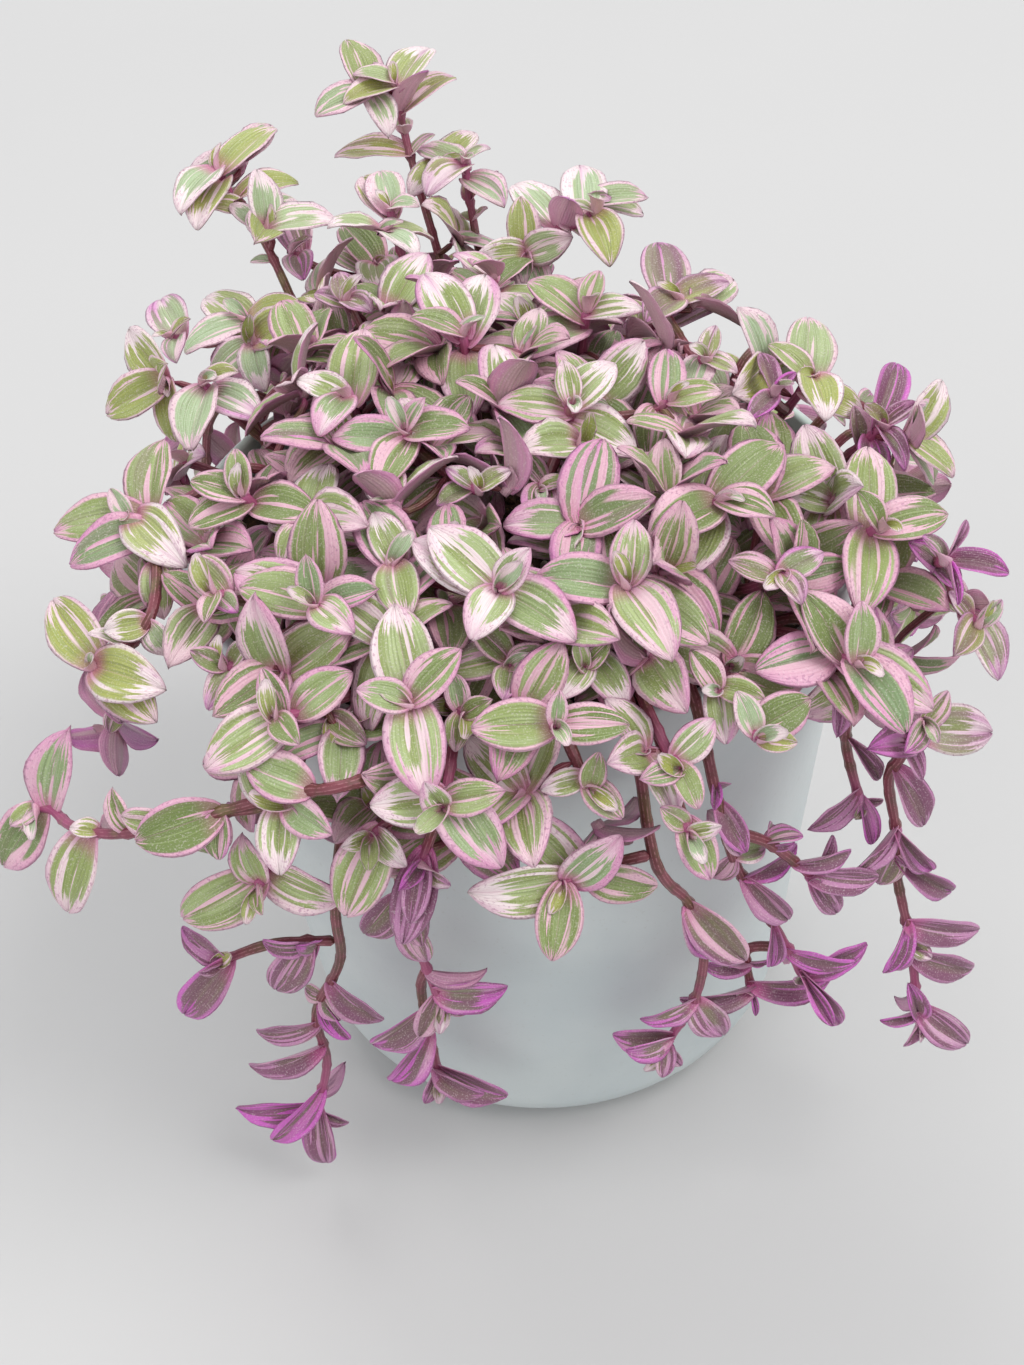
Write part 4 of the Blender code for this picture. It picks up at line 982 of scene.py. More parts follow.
@dataclass
class Vine:
    """The whole plant: its shoots, its stems and the leaves of each node."""

    most_leaves: int = 408
    most_stems: int = 57
    fall_leaves: int = 5
    rosette: int = 4
    joints_filled: int = 8
    inner_share: float = 0.60
    fill_spacing: float = 0.030
    fill_trials: int = 260
    fill_lowest: float = math.radians(103.0)
    fill_inset: Pair = (0.90, 1.0)
    fork_reach: float = 0.042
    lowering: float = 0.003
    lowerings: int = 22
    outside_rim: float = 0.010
    heart_room: float = 26.0
    against_stem: float = 0.006
    back_rosy: float = 0.6
    fill_rosy: Pair = (0.1, 0.5)
    first_lift: float = 0.06
    next_lift: float = 0.07
    rosette_swing: Pair = (-0.2, 0.2)
    first_tilt: float = 4.0
    next_tilt: float = 9.0
    tilt_spread: Pair = (-4.0, 4.0)
    shortening: float = 0.07
    rosette_size: Pair = (0.94, 1.06)
    side_lift: float = 0.001
    side_reach: float = 0.9
    joint_swing: Pair = (-0.6, 0.6)
    joint_pitch: Pair = (18.0, 40.0)
    joint_lean: float = 0.25
    joint_size: Pair = (0.82, 1.04)
    joint_blush: float = 0.35
    hearts: list[tuple[Pair, float]] = field(default_factory=list)
    thicket: Thicket = field(default_factory=Thicket)
    stems: dict[str, Stem] = field(default_factory=dict)
    leaves: dict[str, list[Leaf]] = field(default_factory=dict)

    def grow(self) -> None:
        """Grow every stem, and then the leaves."""
        shoots = [LEFT_ARM, *LEFT_FALLS, *RIGHT_FALLS, *CREST, *CROWN, *self.back_falls()]
        shoots += self.fill_shoots(shoots)
        self.thicket.add(POT.solid(POT.outline()), "pot")
        self.grow_stems(shoots)
        inset = POT.wall + POT.gap
        top = [(POT.radius_at(POT.soil_top, inset), POT.soil_top), (0.0, POT.soil_top)]
        self.thicket.add(POT.solid([(0.0, inset)] + POT.foot(inset) + top), "soil")
        self.grow_leaves()

    def back_falls(self) -> tuple[Shoot, ...]:
        """Find the shoots that hang over the rim behind the mound.

        Returns:
            The shoots.
        """
        falls = []
        for bearing, reach, height in BACK_FALLS:
            angle = math.radians(bearing)
            spot = (reach * math.cos(angle), reach * math.sin(angle), height)
            falls.append(Shoot(rosy=self.back_rosy, spot=spot, over_rim=True))
        return numbered("back_fall", *falls)

    def lowered(self, spot: Vector) -> Vector | None:
        """Lower a place until it shows within the mass of the foliage.

        Args:
            spot: The place.

        Returns:
            The lowered place, or None where there is none outside the pot.
        """
        outside = math.hypot(spot.x, spot.y) > POT.rim_radius + self.outside_rim
        for step in range(self.lowerings):
            low = spot - UP * (self.lowering * step)
            if in_mass(low):
                return low if outside or low.z > POT.height else None
        return None

    def fill_shoots(self, shoots: list[Shoot]) -> list[Shoot]:
        """Fill what the shoots leave bare, with pairs on a stem where they can be.

        Args:
            shoots: The shoots that there are.

        Returns:
            The shoots that fill the rest.
        """
        hearts = [shoot.place() for shoot in shoots]
        nodes = sum(1 for shoot in shoots if not shoot.fork_of)
        draw = Random("fill")
        fills: list[Shoot] = []
        forked: set[str] = set()
        for place in MOUND.spread(self.fill_trials, self.fill_lowest,
                                  lambda: draw.uniform(*self.fill_inset)):
            spot = self.lowered(place)
            if spot is None or min((spot - heart).length for heart in hearts) < self.fill_spacing:
                continue
            hearts.append(spot)
            rosy = draw.uniform(*self.fill_rosy)
            fill = Shoot(name=f"back_{len(fills) + 1:02d}", spot=tuple(spot), rosy=rosy)
            single = [other for other in fills if not other.fork_of and other.name not in forked]
            near = min(single, key=lambda other: (Vector(other.spot) - spot).length, default=None)
            if near and (Vector(near.spot) - spot).length < self.fork_reach:
                forked.add(near.name)
                fills.append(replace(fill, fork_of=near.name))
            elif nodes < self.most_stems:
                nodes += 1
                fills.append(fill)
        return fills

    def spread_roots(self, shoots: list[Shoot]) -> dict[str, Vector]:
        """Root each shoot further in on its stem's bearing, apart from the others.

        Args:
            shoots: The shoots that grow from the soil.

        Returns:
            The root of each, by its shoot's name.
        """
        roots = []
        for shoot in shoots:
            heart = shoot.place()
            aim = (shoot.marks() + [heart])[0]
            reach = math.hypot(heart.x, heart.y)
            bearing = math.atan2(aim.y, aim.x)
            hangs = heart.z < POT.height or reach > MOUND.radius
            distance = STEM.root_bed if hangs else reach * STEM.root_reach
            roots.append(Vector((math.cos(bearing), math.sin(bearing))) * distance)
        for _ in range(STEM.spreading_rounds):
            for one, other in itertools.combinations(roots, 2):
                apart = one - other
                short = STEM.root_spacing - apart.length
                if short > 0.0:
                    push = apart.normalized() * (short / 2.0)
                    one += push
                    other -= push
            for root in roots:
                if root.length > STEM.root_bed:
                    root *= STEM.root_bed / root.length
        return {shoot.name: root for shoot, root in zip(shoots, roots)}

    def clear_way(self, shoot: Shoot, node: str, start: Vector | Stem) -> Stem | None:
        """Try ways for a stem until one is clear of every other node.

        Args:
            shoot: The stem's shoot.
            node: The node that it would belong to.
            start: Where it leaves the soil, or the stem that it grows from.

        Returns:
            The stem, or None.
        """
        draw = Random(shoot.name)
        stem = Stem(shoot, node, [], shoot.facing())
        forks = isinstance(start, Stem)
        way = stem.from_stem if forks else stem.from_soil
        for trial in range(STEM.trials):
            stem.path = way(start, draw, trial / STEM.trials_per_strength)
            if not self.thicket.meets(plain_stem(stem.path, STEM.clearance, int(not forks)), node):
                return stem
        return None

    def grow_stems(self, shoots: list[Shoot]) -> None:
        """Grow each shoot's stem, clear of the pot and of the stems before it.

        A shoot that finds no clear way up from the soil grows from the nearest stem that leaves
        it one.

        Args:
            shoots: The shoots.
        """
        rooted = [shoot for shoot in shoots if not shoot.fork_of]
        roots = self.spread_roots(rooted)
        for shoot in rooted + [shoot for shoot in shoots if shoot.fork_of]:
            stem = None
            if not shoot.fork_of:
                stem = self.clear_way(shoot, "leafy_stem_" + shoot.name, roots[shoot.name])
            if stem is None:
                heart = shoot.place()
                near = sorted(self.stems.values(),
                              key=lambda other: min((place - heart).length for place in other.path))
                near.sort(key=lambda other: other.shoot.name != shoot.fork_of)
                for parent in near[:STEM.parents_tried]:
                    stem = stem or self.clear_way(shoot, parent.node, parent)
            if stem:
                self.thicket.add(plain_stem(stem.path), stem.node)
                self.stems[shoot.name] = stem

    def hides(self, leaf: Leaf, room: float) -> bool:
        """Say whether a leaf would show in front of a marked heart.

        Args:
            leaf: The leaf.
            room: How many pixels off it has to show.

        Returns:
            Whether it would.
        """
        for place in (leaf.surface(0.5, 0.0)[0], leaf.tip()):
            depth, seen = VIEW.depth(place), VIEW.seen_at(place)
            if any(depth < far and math.dist(seen, pixel) < room for pixel, far in self.hearts):
                return True
        return False

    def settle(self, leaf: Leaf, axis: Vector, node: str, room: float = 0.0) -> Leaf | None:
        """Turn a leaf as little as it takes to clear everything, and place it.

        Args:
            leaf: The leaf.
            axis: The direction of its stem.
            node: The node that it belongs to.
            room: How many pixels it keeps from the marked hearts.

        Returns:
            The turned leaf, or None where nothing clears it.
        """
        for size, lift, turn in itertools.product(LEAF.scales, LEAF.lifts, LEAF.turns):
            trial = leaf.turned(axis, math.radians(turn), math.radians(lift), size)
            if trial.tip().z < LEAF.lowest or self.hides(trial, room):
                continue
            if self.thicket.meets(trial.plain(0.0, LEAF.clearance), node):
                continue
            beyond_root = trial.plain(LEAF.root_share, LEAF.clearance * 0.5)
            if not self.thicket.meets(beyond_root, node, own=True):
                self.thicket.add(trial.plain(), node)
                return trial
        return None

    def rosette_leaves(self, stem: Stem, draw: Random) -> list[Leaf]:
        """Grow the leaves of a shoot's rosette, with the longest lowest on the stem.

        Args:
            stem: The stem.
            draw: The random numbers.

        Returns:
            The leaves.
        """
        rosy = stem.shoot.rosy
        tips = sorted(stem.shoot.tips, key=lambda tip: -math.dist(tip, VIEW.seen_at(stem.path[-1])))
        count = len(tips) or self.rosette
        turn = 0.0 if tips else draw.uniform(0.0, math.tau)
        leaves = []
        for index in range(count):
            base, _ = stem.down(LEAF.stagger * (count - 1 - index) + LEAF.top_down)
            if tips:
                lift = (self.first_lift + self.next_lift * index) * LEAF.length
                leaves.append(Leaf.to_pixel(base, stem.facing, tips[index], lift, rosy, draw))
                continue
            angle = turn + index * LEAF_TO_LEAF + draw.uniform(*self.rosette_swing)
            tilt = self.first_tilt + self.next_tilt * index + draw.uniform(*self.tilt_spread)
            chord = swung(stem.facing, angle, math.radians(tilt))
            size = draw.uniform(*self.rosette_size) * (1.0 - self.shortening * index)
            leaves.append(Leaf.grown(base, chord, stem.facing, LEAF.length * size, rosy, draw))
        return leaves

    def side_leaf(self, stem: Stem, pixel: tuple, draw: Random) -> tuple[Leaf, Vector]:
        """Grow a leaf from the joint that suits a tip seen beside the stem.

        Args:
            stem: The stem.
            pixel: Where the tip shows.
            draw: The random numbers.

        Returns:
            The leaf and the stem's direction at its joint.
        """
        choices = []
        for joint, away in stem.joints(STEM.joint_spacing):
            outward = (MOUND.outward(joint) * 0.5 + UP * 0.2 - VIEW.forward * 0.5).normalized()
            leaf = Leaf.to_pixel(joint, outward, pixel, self.side_lift, stem.shoot.rosy, draw)
            reach = (VIEW.at_level(pixel, joint.z) - joint).length
            backward = self.against_stem if leaf.chord.dot(away) < 0.0 else 0.0
            choices.append((abs(reach - LEAF.length * self.side_reach) + backward, leaf, away))
        return min(choices, key=lambda choice: choice[0])[1:]

    def joint_leaves(self, stem: Stem, draw: Random) -> list[tuple[Leaf, Vector]]:
        """Grow a leaf at each joint below the rosette, on alternate sides of the stem.

        Args:
            stem: The stem.
            draw: The random numbers.

        Returns:
            The leaves, and the stem's direction at each.
        """
        leaves = []
        side = None
        for joint, along in stem.joints(STEM.joint_spacing):
            if MOUND.depth(joint) < self.inner_share and joint.z > POT.height:
                break
            outward = MOUND.outward(joint)
            if side is None:
                side = along.cross(outward).normalized() * (1.0 if draw.random() < 0.5 else -1.0)
            side = (side - along * side.dot(along)).normalized() * -1.0
            swung_side = Matrix.Rotation(draw.uniform(*self.joint_swing), 3, along) @ side
            pitch = math.radians(draw.uniform(*self.joint_pitch))
            chord = swung_side * math.cos(pitch) + along * math.sin(pitch)
            chord = (chord + outward * self.joint_lean).normalized()
            wish = along * 0.5 + UP * 0.4 + outward * 0.5
            length = LEAF.length * draw.uniform(*self.joint_size)
            rosy = min(stem.shoot.rosy + draw.uniform(0.0, self.joint_blush), 1.0)
            leaf = Leaf.grown(joint, chord, wish, length, rosy, draw)
            # Leaves along the stems inside the mound are aged and so darkened: partly their age,
            # partly painted shade
            leaf.old = 1.0
            leaves.append((leaf, along))
        return leaves

    def wished_leaves(self) -> Iterator[tuple[Leaf, Vector, str, float]]:
        """Grow leaves in the order of their placing: rosettes first, then along the stems.

        Yields:
            Each leaf, its stem's direction, its node and its room round the marked hearts.
        """
        stems = [(stem, Random(name + " leaves")) for name, stem in self.stems.items()]
        shown = [both for both in stems if not both[0].shoot.fills()]
        for stem, draw in shown:
            for leaf in self.rosette_leaves(stem, draw):
                yield leaf, stem.facing, stem.node, 0.0
        for stem, draw in stems:
            for pixel in stem.shoot.side_tips:
                yield *self.side_leaf(stem, pixel, draw), stem.node, 0.0
            if stem.shoot.over_rim:
                for leaf, along in self.joint_leaves(stem, draw)[:self.fall_leaves]:
                    yield leaf, along, stem.node, 0.0
        fills = [both for both in stems if both[0].shoot.fills()]
        for stem, draw in fills:
            for leaf in self.rosette_leaves(stem, draw):
                yield leaf, stem.facing, stem.node, self.heart_room
        rest = [(self.joint_leaves(stem, draw), stem.node)
                for stem, draw in stems if not stem.shoot.over_rim]
        for turn, (leaves, node) in itertools.product(range(self.joints_filled), rest):
            if turn < len(leaves):
                yield *leaves[turn], node, self.heart_room

    def grow_leaves(self) -> None:
        """Place the leaves where they find room, up to the most."""
        ends = [stem.path[-1] for stem in self.stems.values() if stem.shoot.tips]
        self.hearts = [(VIEW.seen_at(end), VIEW.depth(end)) for end in ends]
        count = 0
        for leaf, axis, node, room in self.wished_leaves():
            settled = self.settle(leaf, axis, node, room)
            if settled:
                self.leaves.setdefault(node, []).append(settled)
                count += 1
            if count == self.most_leaves:
                break


Colour = tuple[float, float, float, float]
Value = "Wire | float | tuple"


def shade(code: str) -> Colour:
    """Turn a colour written as six hexadecimal digits into the shader's linear numbers.

    Args:
        code: The colour, such as "8CAA64".

    Returns:
        Its linear red, green, blue and alpha.
    """
    parts = [int(code[at:at + 2], 16) / 255.0 for at in (0, 2, 4)]
    low = [part / 12.92 if part <= 0.04045 else ((part + 0.055) / 1.055) ** 2.4 for part in parts]
    return (*low, 1.0)


def operator(operation: str, swapped: bool = False) -> "Callable[[Wire, Value], Wire]":
    """Write a method of Wire for one of Python's operators.

    Args:
        operation: What its Math node does.
        swapped: Whether the wire is the node's second input.

    Returns:
        The method.
    """
    def method(wire: "Wire", other: Value) -> "Wire":
        """Add the Math node and return its output."""
        return wire.maths(operation, *((other, wire) if swapped else (wire, other)))

    return method


class Wire:
    """A socket of a material, so that shader maths can be written as Python expressions."""

    def __init__(self, bench: "Bench", socket: bpy.types.NodeSocket) -> None:
        """Wrap an output socket."""
        self.bench = bench
        self.socket = socket

    def maths(self, operation: str, *values: Value) -> "Wire":
        """Add a Math node and return its output."""
        return self.bench.wire("ShaderNodeMath", {"operation": operation}, dict(enumerate(values)))

    __add__ = operator("ADD")
    __radd__ = operator("ADD", swapped=True)
    __sub__ = operator("SUBTRACT")
    __rsub__ = operator("SUBTRACT", swapped=True)
    __mul__ = operator("MULTIPLY")
    __rmul__ = operator("MULTIPLY", swapped=True)
    __mod__ = operator("FLOORED_MODULO")
    __rmod__ = operator("FLOORED_MODULO", swapped=True)

    def __abs__(self) -> "Wire":
        """Return the distance from zero."""
        return self.maths("ABSOLUTE", self)

    def wave(self) -> "Wire":
        """Return the sine, moved and scaled to lie from 0 to 1."""
        return self.maths("SINE", self) * 0.5 + 0.5

    def above(self, low: float, high: float) -> "Wire":
        """Rise smoothly from 0 at one value to 1 at another, which may be the lower."""
        settings = {"interpolation_type": "SMOOTHSTEP"}
        return self.bench.wire("ShaderNodeMapRange", settings, {0: self, 1: low, 2: high})


class Bench:
    """A material's nodes while it is made."""

    def __init__(self, name: str) -> None:
        """Start a material with a Principled shader.

        Args:
            name: Its name.
        """
        self.material = bpy.data.materials.new(name)
        self.material.use_nodes = True
        self.tree = self.material.node_tree
        self.shader = self.tree.nodes["Principled BSDF"]

    def node(self, kind: str, settings: dict[str, object], inputs: dict) -> bpy.types.Node:
        """Add a node.

        Args:
            kind: The node's type.
            settings: Its settings, which are set first.
            inputs: Values or wires by socket.

        Returns:
            The node.
        """
        node = self.tree.nodes.new(kind)
        for name, value in settings.items():
            setattr(node, name, value)
        self.fill(node, inputs)
        return node

    def fill(self, node: bpy.types.Node, inputs: dict) -> None:
        """Give a node's sockets their values or wires.

        Args:
            node: The node.
            inputs: Values or wires by socket.
        """
        for name, value in inputs.items():
            if isinstance(value, Wire):
                self.tree.links.new(value.socket, node.inputs[name])
            else:
                node.inputs[name].default_value = value

    def wire(self, kind: str, settings: dict[str, object], inputs: dict,
             output: int | str = 0) -> Wire:
        """Add a node and return one of its outputs, named or numbered."""
        return Wire(self, self.node(kind, settings, inputs).outputs[output])

    def parts(self, vector: Wire) -> tuple[Wire, ...]:
        """Split a vector into its three numbers."""
        node = self.node("ShaderNodeSeparateXYZ", {}, {0: vector})
        return tuple(Wire(self, output) for output in node.outputs)

    def read(self, name: str) -> tuple[Wire, ...]:
        """Read the three numbers that a piece's mesh holds under a name."""
        return self.parts(self.wire("ShaderNodeAttribute", {"attribute_name": name}, {}, "Vector"))

    def place(self) -> Wire:
        """Return the place on the piece, in metres."""
        return self.wire("ShaderNodeTexCoord", {}, {}, "Object")

    def vector(self, x: Value, y: Value, z: Value) -> Wire:
        """Join three numbers into a vector."""
        return self.wire("ShaderNodeCombineXYZ", {}, {0: x, 1: y, 2: z})

    def noise(self, vector: Wire, scale: float = 1.0, detail: float = 1.0) -> Wire:
        """Return noise from 0 to 1 with a number of swells to a unit and of finer layers."""
        inputs = {"Vector": vector, "Scale": scale, "Detail": detail}
        return self.wire("ShaderNodeTexNoise", {}, inputs)

    def mix(self, share: Value, one: Value, other: Value) -> Wire:
        """Mix two colours by the share of the second."""
        inputs = {"Factor": share, 6: one, 7: other}
        return self.wire("ShaderNodeMix", {"data_type": "RGBA"}, inputs, 2)

    def coats(self, colour: Value, *coats: tuple[Value, Value]) -> Value:
        """Lay colours over a colour.

        Args:
            colour: The colour underneath.
            coats: The share and the colour of each coat, in order.

        Returns:
            The colour that shows.
        """
        for share, coat in coats:
            colour = self.mix(share, colour, coat)
        return colour

    def bump(self, height: Wire, depth: float) -> Wire:
        """Turn a height from 0 to 1 into a surface normal, with the metres that 1 stands for."""
        return self.wire("ShaderNodeBump", {}, {"Distance": depth, "Height": height}, "Normal")

    def finish(self, inputs: dict) -> bpy.types.Material:
        """Give the shader its inputs and return the material."""
        self.fill(self.shader, inputs)
        return self.material


@dataclass(frozen=True)
class LeafFinish:
    """Striped leaves: green bands and a pink ground, purple specks, mauve underneath.

    The mesh gives how far along and across the leaf a place lies and its side, and how rosy and
    how old the leaf is, with its seed. An age below 0 is a young leaf, and an age above 0 darkens
    it, partly for its age and partly as painted shade on the leaves deep in the mound. The
    patterns are given by how many of their swells fit along a leaf and across half of it.
    """

    green: Colour = shade("93A25F")
    light_green: Colour = shade("AEBE86")
    blue_green: Colour = shade("86A27E")
    young_green: Colour = shade("ABB058")
    mint: Colour = shade("B4C9A4")
    deep_green: Colour = shade("74864A")
    # Darker green of aged leaves, also painted shade on the leaves deep in the mound
    aged_and_shaded_green: Colour = shade("6C7546")
    olive: Colour = shade("7F7A5C")
    pink: Colour = shade("E5B9C8")
    cream: Colour = shade("F1E4E4")
    lilac: Colour = shade("D594B9")
    # Darker pink of aged leaves, also painted shade on the leaves deep in the mound
    aged_and_shaded_pink: Colour = shade("C58C9E")
    rim: Colour = shade("CB8FB2")
    magenta: Colour = shade("CC649F")
    speck: Colour = shade("A8698F")
    plum: Colour = shade("82506C")
    rosy_pale: Colour = shade("C084AE")
    bright: Colour = shade("CF62C2")
    mauve: Colour = shade("D697B8")
    under_green: Colour = shade("A3A888")
    bands: Pair = (0.45, 1.6)
    threads: Pair = (0.9, 4.6)
    streaks: Pair = (0.3, 11.0)
    lines: Pair = (1.6, 26.0)
    flecks: Pair = (26.0, 11.0)
    relief: float = 0.00012

    def dress(self) -> bpy.types.Material:
        """Make the material of the leaves.

        Returns:
            The material.
        """
        bench = Bench("striped_leaf")
        along, across, side = bench.read("blade")
        rosy, age, seed = bench.read("mood")
        v = across * 2.0 - 1.0
        edge = abs(v)
        own = seed * 91.7
        second = (seed * 7.31) % 1.0
        third = (seed * 13.7) % 1.0
        young = (0.0 - age).above(0.0, 1.0)
        # An age above 0 darkens a leaf: partly its age, partly painted shade on the leaves deep in
        # the mound
        old = age.above(0.0, 1.0)
        bands, threads, streaks, lines, flecks = (
            bench.noise(bench.vector(along * swells[0], v * swells[1] + own, own), 1.0, detail)
            for swells, detail in ((self.bands, 1.0), (self.threads, 1.0), (self.streaks, 2.0),
                                   (self.lines, 2.0), (self.flecks, 2.0)))
        grain = bench.noise(bench.place(), 2600.0, 2.0)

        # Where the green of the upper side shows: broad bands without threads, tip and margin
        leaning = (second - 0.5) * v * 0.26
        broad = (bands + leaning + third * 0.16 - age * 0.03).above(0.375, 0.425)
        thin_from = 0.52 + (seed * 3.17) % 1.0 * 0.13 - age * 0.03
        threads = threads + (lines - 0.5) * 0.10 - along * 0.05
        thin = (threads - thin_from).above(-0.010, 0.014)
        ragged = (streaks - 0.5) * 0.60 + (threads - 0.5) * 0.5 + (third - 0.5) * 0.34
        tip = (along + ragged).above(0.74, 0.81)
        margin = (edge + (streaks - 0.5) * 0.24 + (second - 0.5) * 0.16).above(0.76, 0.86)
        green = broad * (1.0 - thin) * (1.0 - tip) * (1.0 - margin)

        # The purple leaves of the hanging shoots
        purple = (rosy + (bands - 0.5) * 0.9 + along * 0.15 - 0.05).above(0.38, 0.90)
        vivid = bench.mix((second + along * 0.3).above(0.50, 0.95), self.rosy_pale, self.bright)
        centre = (edge + (threads - 0.5) * 0.8).above(0.50, 0.10)
        dusky = bench.mix(centre * 0.6, self.plum, self.olive)

        leaf_green = bench.coats(
            self.green,
            (third.above(0.50, 0.10), self.deep_green),
            (bands.above(0.42, 0.60) * third.above(0.1, 0.5), self.light_green),
            (second.above(0.60, 1.0) * 0.6, self.blue_green),
            (young, bench.mix(second.above(0.2, 0.7), self.young_green, self.mint)),
            # Darker green where the leaf is aged: partly its age, partly painted shade deep in the
            # mound
            (old * 0.7, self.aged_and_shaded_green),
            (lines.above(0.42, 0.66) * 0.5, self.aged_and_shaded_green),
            (streaks.above(0.58, 0.64) * 0.40, self.light_green),
            (purple, dusky),
        )
        flush = edge * 0.45 + along * 0.45 + (bands - 0.5) + (second - 0.5) * 0.5
        outer = (edge + along * 0.4).above(0.35, 0.95)
        pale = bench.coats(
            self.pink,
            (third.above(0.30, 0.95), self.cream),
            (flush.above(0.35, 1.05) * (1.0 - young * 0.7), self.lilac),
            (young * 0.6, self.cream),
            # Darker pink where the leaf is aged: partly its age, partly painted shade deep in the
            # mound
            (old * 0.75, self.aged_and_shaded_pink),
            (lines.above(0.46, 0.70) * 0.30, self.aged_and_shaded_pink),
            (flecks.above(0.54, 0.64) * outer * 0.55, self.speck),
            (purple, vivid),
        )
        top = bench.coats(
            pale,
            (green, leaf_green),
            ((threads + edge * 0.10).above(0.62, 0.44) * purple * (0.35 + 0.55 * third), self.plum),
            (along.above(0.30, 0.04) * (0.25 + 0.55 * third), self.magenta),
            (edge.above(0.955, 0.995) * streaks.above(0.40, 0.60) * 0.40, self.rim),
            (edge.above(0.035, 0.0) * 0.25, self.lilac),
        )
        belly = (edge + (threads - 0.5) * 0.5).above(0.75, 0.35)
        under = bench.coats(
            self.mauve,
            (second.above(0.35, 1.0) * (0.15 + 0.85 * purple), vivid),
            (belly * (0.50 - 0.35 * purple), self.under_green),
            (threads.above(0.50, 0.62) * purple * 0.65, self.plum),
            (lines.above(0.40, 0.70) * 0.4, self.rosy_pale),
            (young * 0.75, self.pink),
        )
        veins = (v * 46.0 + (bands - 0.5) * 3.0).wave()
        height = veins * 0.45 + lines * 0.3 + grain * 0.3 - edge.above(0.05, 0.0) * 0.6
        glints = grain.above(0.52, 0.72)
        return bench.finish({
            "Base Color": bench.coats(under, (side, top), (glints * 0.30, self.cream)),
            "Roughness": 0.40 + 0.16 * grain + 0.10 * old - 0.05 * green,
            "Normal": bench.bump(height, self.relief),
            "Specular IOR Level": 0.45,
            "Sheen Weight": 0.06,
            "Sheen Roughness": 0.4,
        })


@dataclass(frozen=True)
class StemFinish:
    """Juicy burgundy stems with pale lengthwise ribs, pinker towards the heart."""

    burgundy: Colour = shade("7C3A46")
    brown: Colour = shade("5F352E")
    rib: Colour = shade("B98088")
    pink: Colour = shade("BC5F92")
    green: Colour = shade("8A8A50")
    relief: float = 0.00009

    def dress(self) -> bpy.types.Material:
        """Make the material of the stems.

        Returns:
            The material.
        """
        bench = Bench("juicy_stem")
        along, across, _ = bench.read("blade")
        rosy, age, seed = bench.read("mood")
        patches = bench.noise(bench.place(), 160.0, 2.0)
        fine = bench.noise(bench.place(), 1500.0, 2.0)
        ribs = (across * math.tau * 9.0 + seed * 57.3).wave()
        colour = bench.coats(
            self.burgundy,
            (patches.above(0.40, 0.62), self.brown),
            (ribs.above(0.62, 1.0) * fine.above(0.35, 0.6) * 0.55, self.rib),
            (along.above(0.72, 1.0) * 0.65, self.pink),
            (patches.above(0.52, 0.70) * (0.45 - 0.4 * rosy), self.green),
            # Aged stems, such as those of the deeper undergrowth, turn browner: partly their age,
            # partly painted shade
            (age.above(0.0, 1.0) * 0.5, self.brown),
        )
        return bench.finish({
            "Base Color": colour,
            "Roughness": 0.34 + 0.2 * fine,
            "Normal": bench.bump(ribs * 0.6 + fine * 0.4, self.relief),
            "Specular IOR Level": 0.5,
        })


@dataclass(frozen=True)
class PotFinish:
    """A satin glaze in a pale blue grey, with traces of soil inside and a faint mint tint there,
    which is painted green light cast by the leaves.
    """

    outside: Colour = shade("C9D1D1")
    cloud: Colour = shade("BCC6C8")
    # Painted green light cast by the leaves on the inside wall
    inside: Colour = shade("C3D3CB")
    soil: Colour = shade("6B5642")
    dust: Colour = shade("B9BDB9")
    relief: float = 0.00006

    def dress(self) -> bpy.types.Material:
        """Make the material of the pot.

        Returns:
            The material.
        """
        bench = Bench("satin_glaze")
        place = bench.place()
        x, y, height = bench.parts(place)
        flat = bench.vector(x, y, 0.0)
        radius = bench.wire("ShaderNodeVectorMath", {"operation": "LENGTH"}, {0: flat}, "Value")
        middle = POT.radius_at(0.0, POT.wall / 2.0) + height * math.tan(POT.lean())
        side = (radius - middle + height.above(0.0230, 0.0205) * 0.1).above(-0.0004, 0.0004)
        clouds = bench.noise(place, 22.0, 3.0)
        speckles = bench.noise(place, 900.0, 3.0)
        skin = bench.noise(place, 380.0, 2.0)
        scuffs = height.above(0.012, 0.0) * clouds.above(0.40, 0.60)
        traces = height.above(0.163, 0.155) * speckles.above(0.40, 0.60)
        colour = bench.coats(
            self.outside,
            (clouds.above(0.38, 0.68) * 0.7, self.cloud),
            (speckles.above(0.62, 0.74) * 0.35, self.dust),
            (scuffs * 0.6, self.dust),
        )
        return bench.finish({
            # The inside wall: a faint mint of painted green light from the leaves, with traces of
            # soil
            "Base Color": bench.mix(side, bench.mix(traces, self.inside, self.soil), colour),
            "Roughness": 0.36 + 0.16 * skin + 0.2 * scuffs,
            "Normal": bench.bump(skin * 0.7 + speckles * 0.3, self.relief),
            "Specular IOR Level": 0.5,
        })


@dataclass(frozen=True)
class SoilFinish:
    """Dark potting soil with fibres and a few pale crumbs."""

    dark: Colour = shade("2B1F18")
    brown: Colour = shade("4A3728")
    fibre: Colour = shade("7A5C3E")
    pale: Colour = shade("BDB3A2")
    relief: float = 0.0009

    def dress(self) -> bpy.types.Material:
        """Make the material of the soil.

        Returns:
            The material.
        """
        bench = Bench("potting_soil")
        clods = bench.noise(bench.place(), 240.0, 4.0)
        grain = bench.noise(bench.place(), 1300.0, 3.0)
        seed = bench.read("mood")[2]
        colour = bench.coats(
            self.dark,
            (clods.above(0.38, 0.62), self.brown),
            (grain.above(0.58, 0.70) * 0.8, self.fibre),
            (seed.above(0.86, 0.90) * 0.85, self.pale),
        )
        return bench.finish({
            "Base Color": colour,
            "Roughness": 0.80 + 0.18 * grain,
            "Normal": bench.bump(clods * 0.6 + grain * 0.4, self.relief),
            "Specular IOR Level": 0.25,
        })


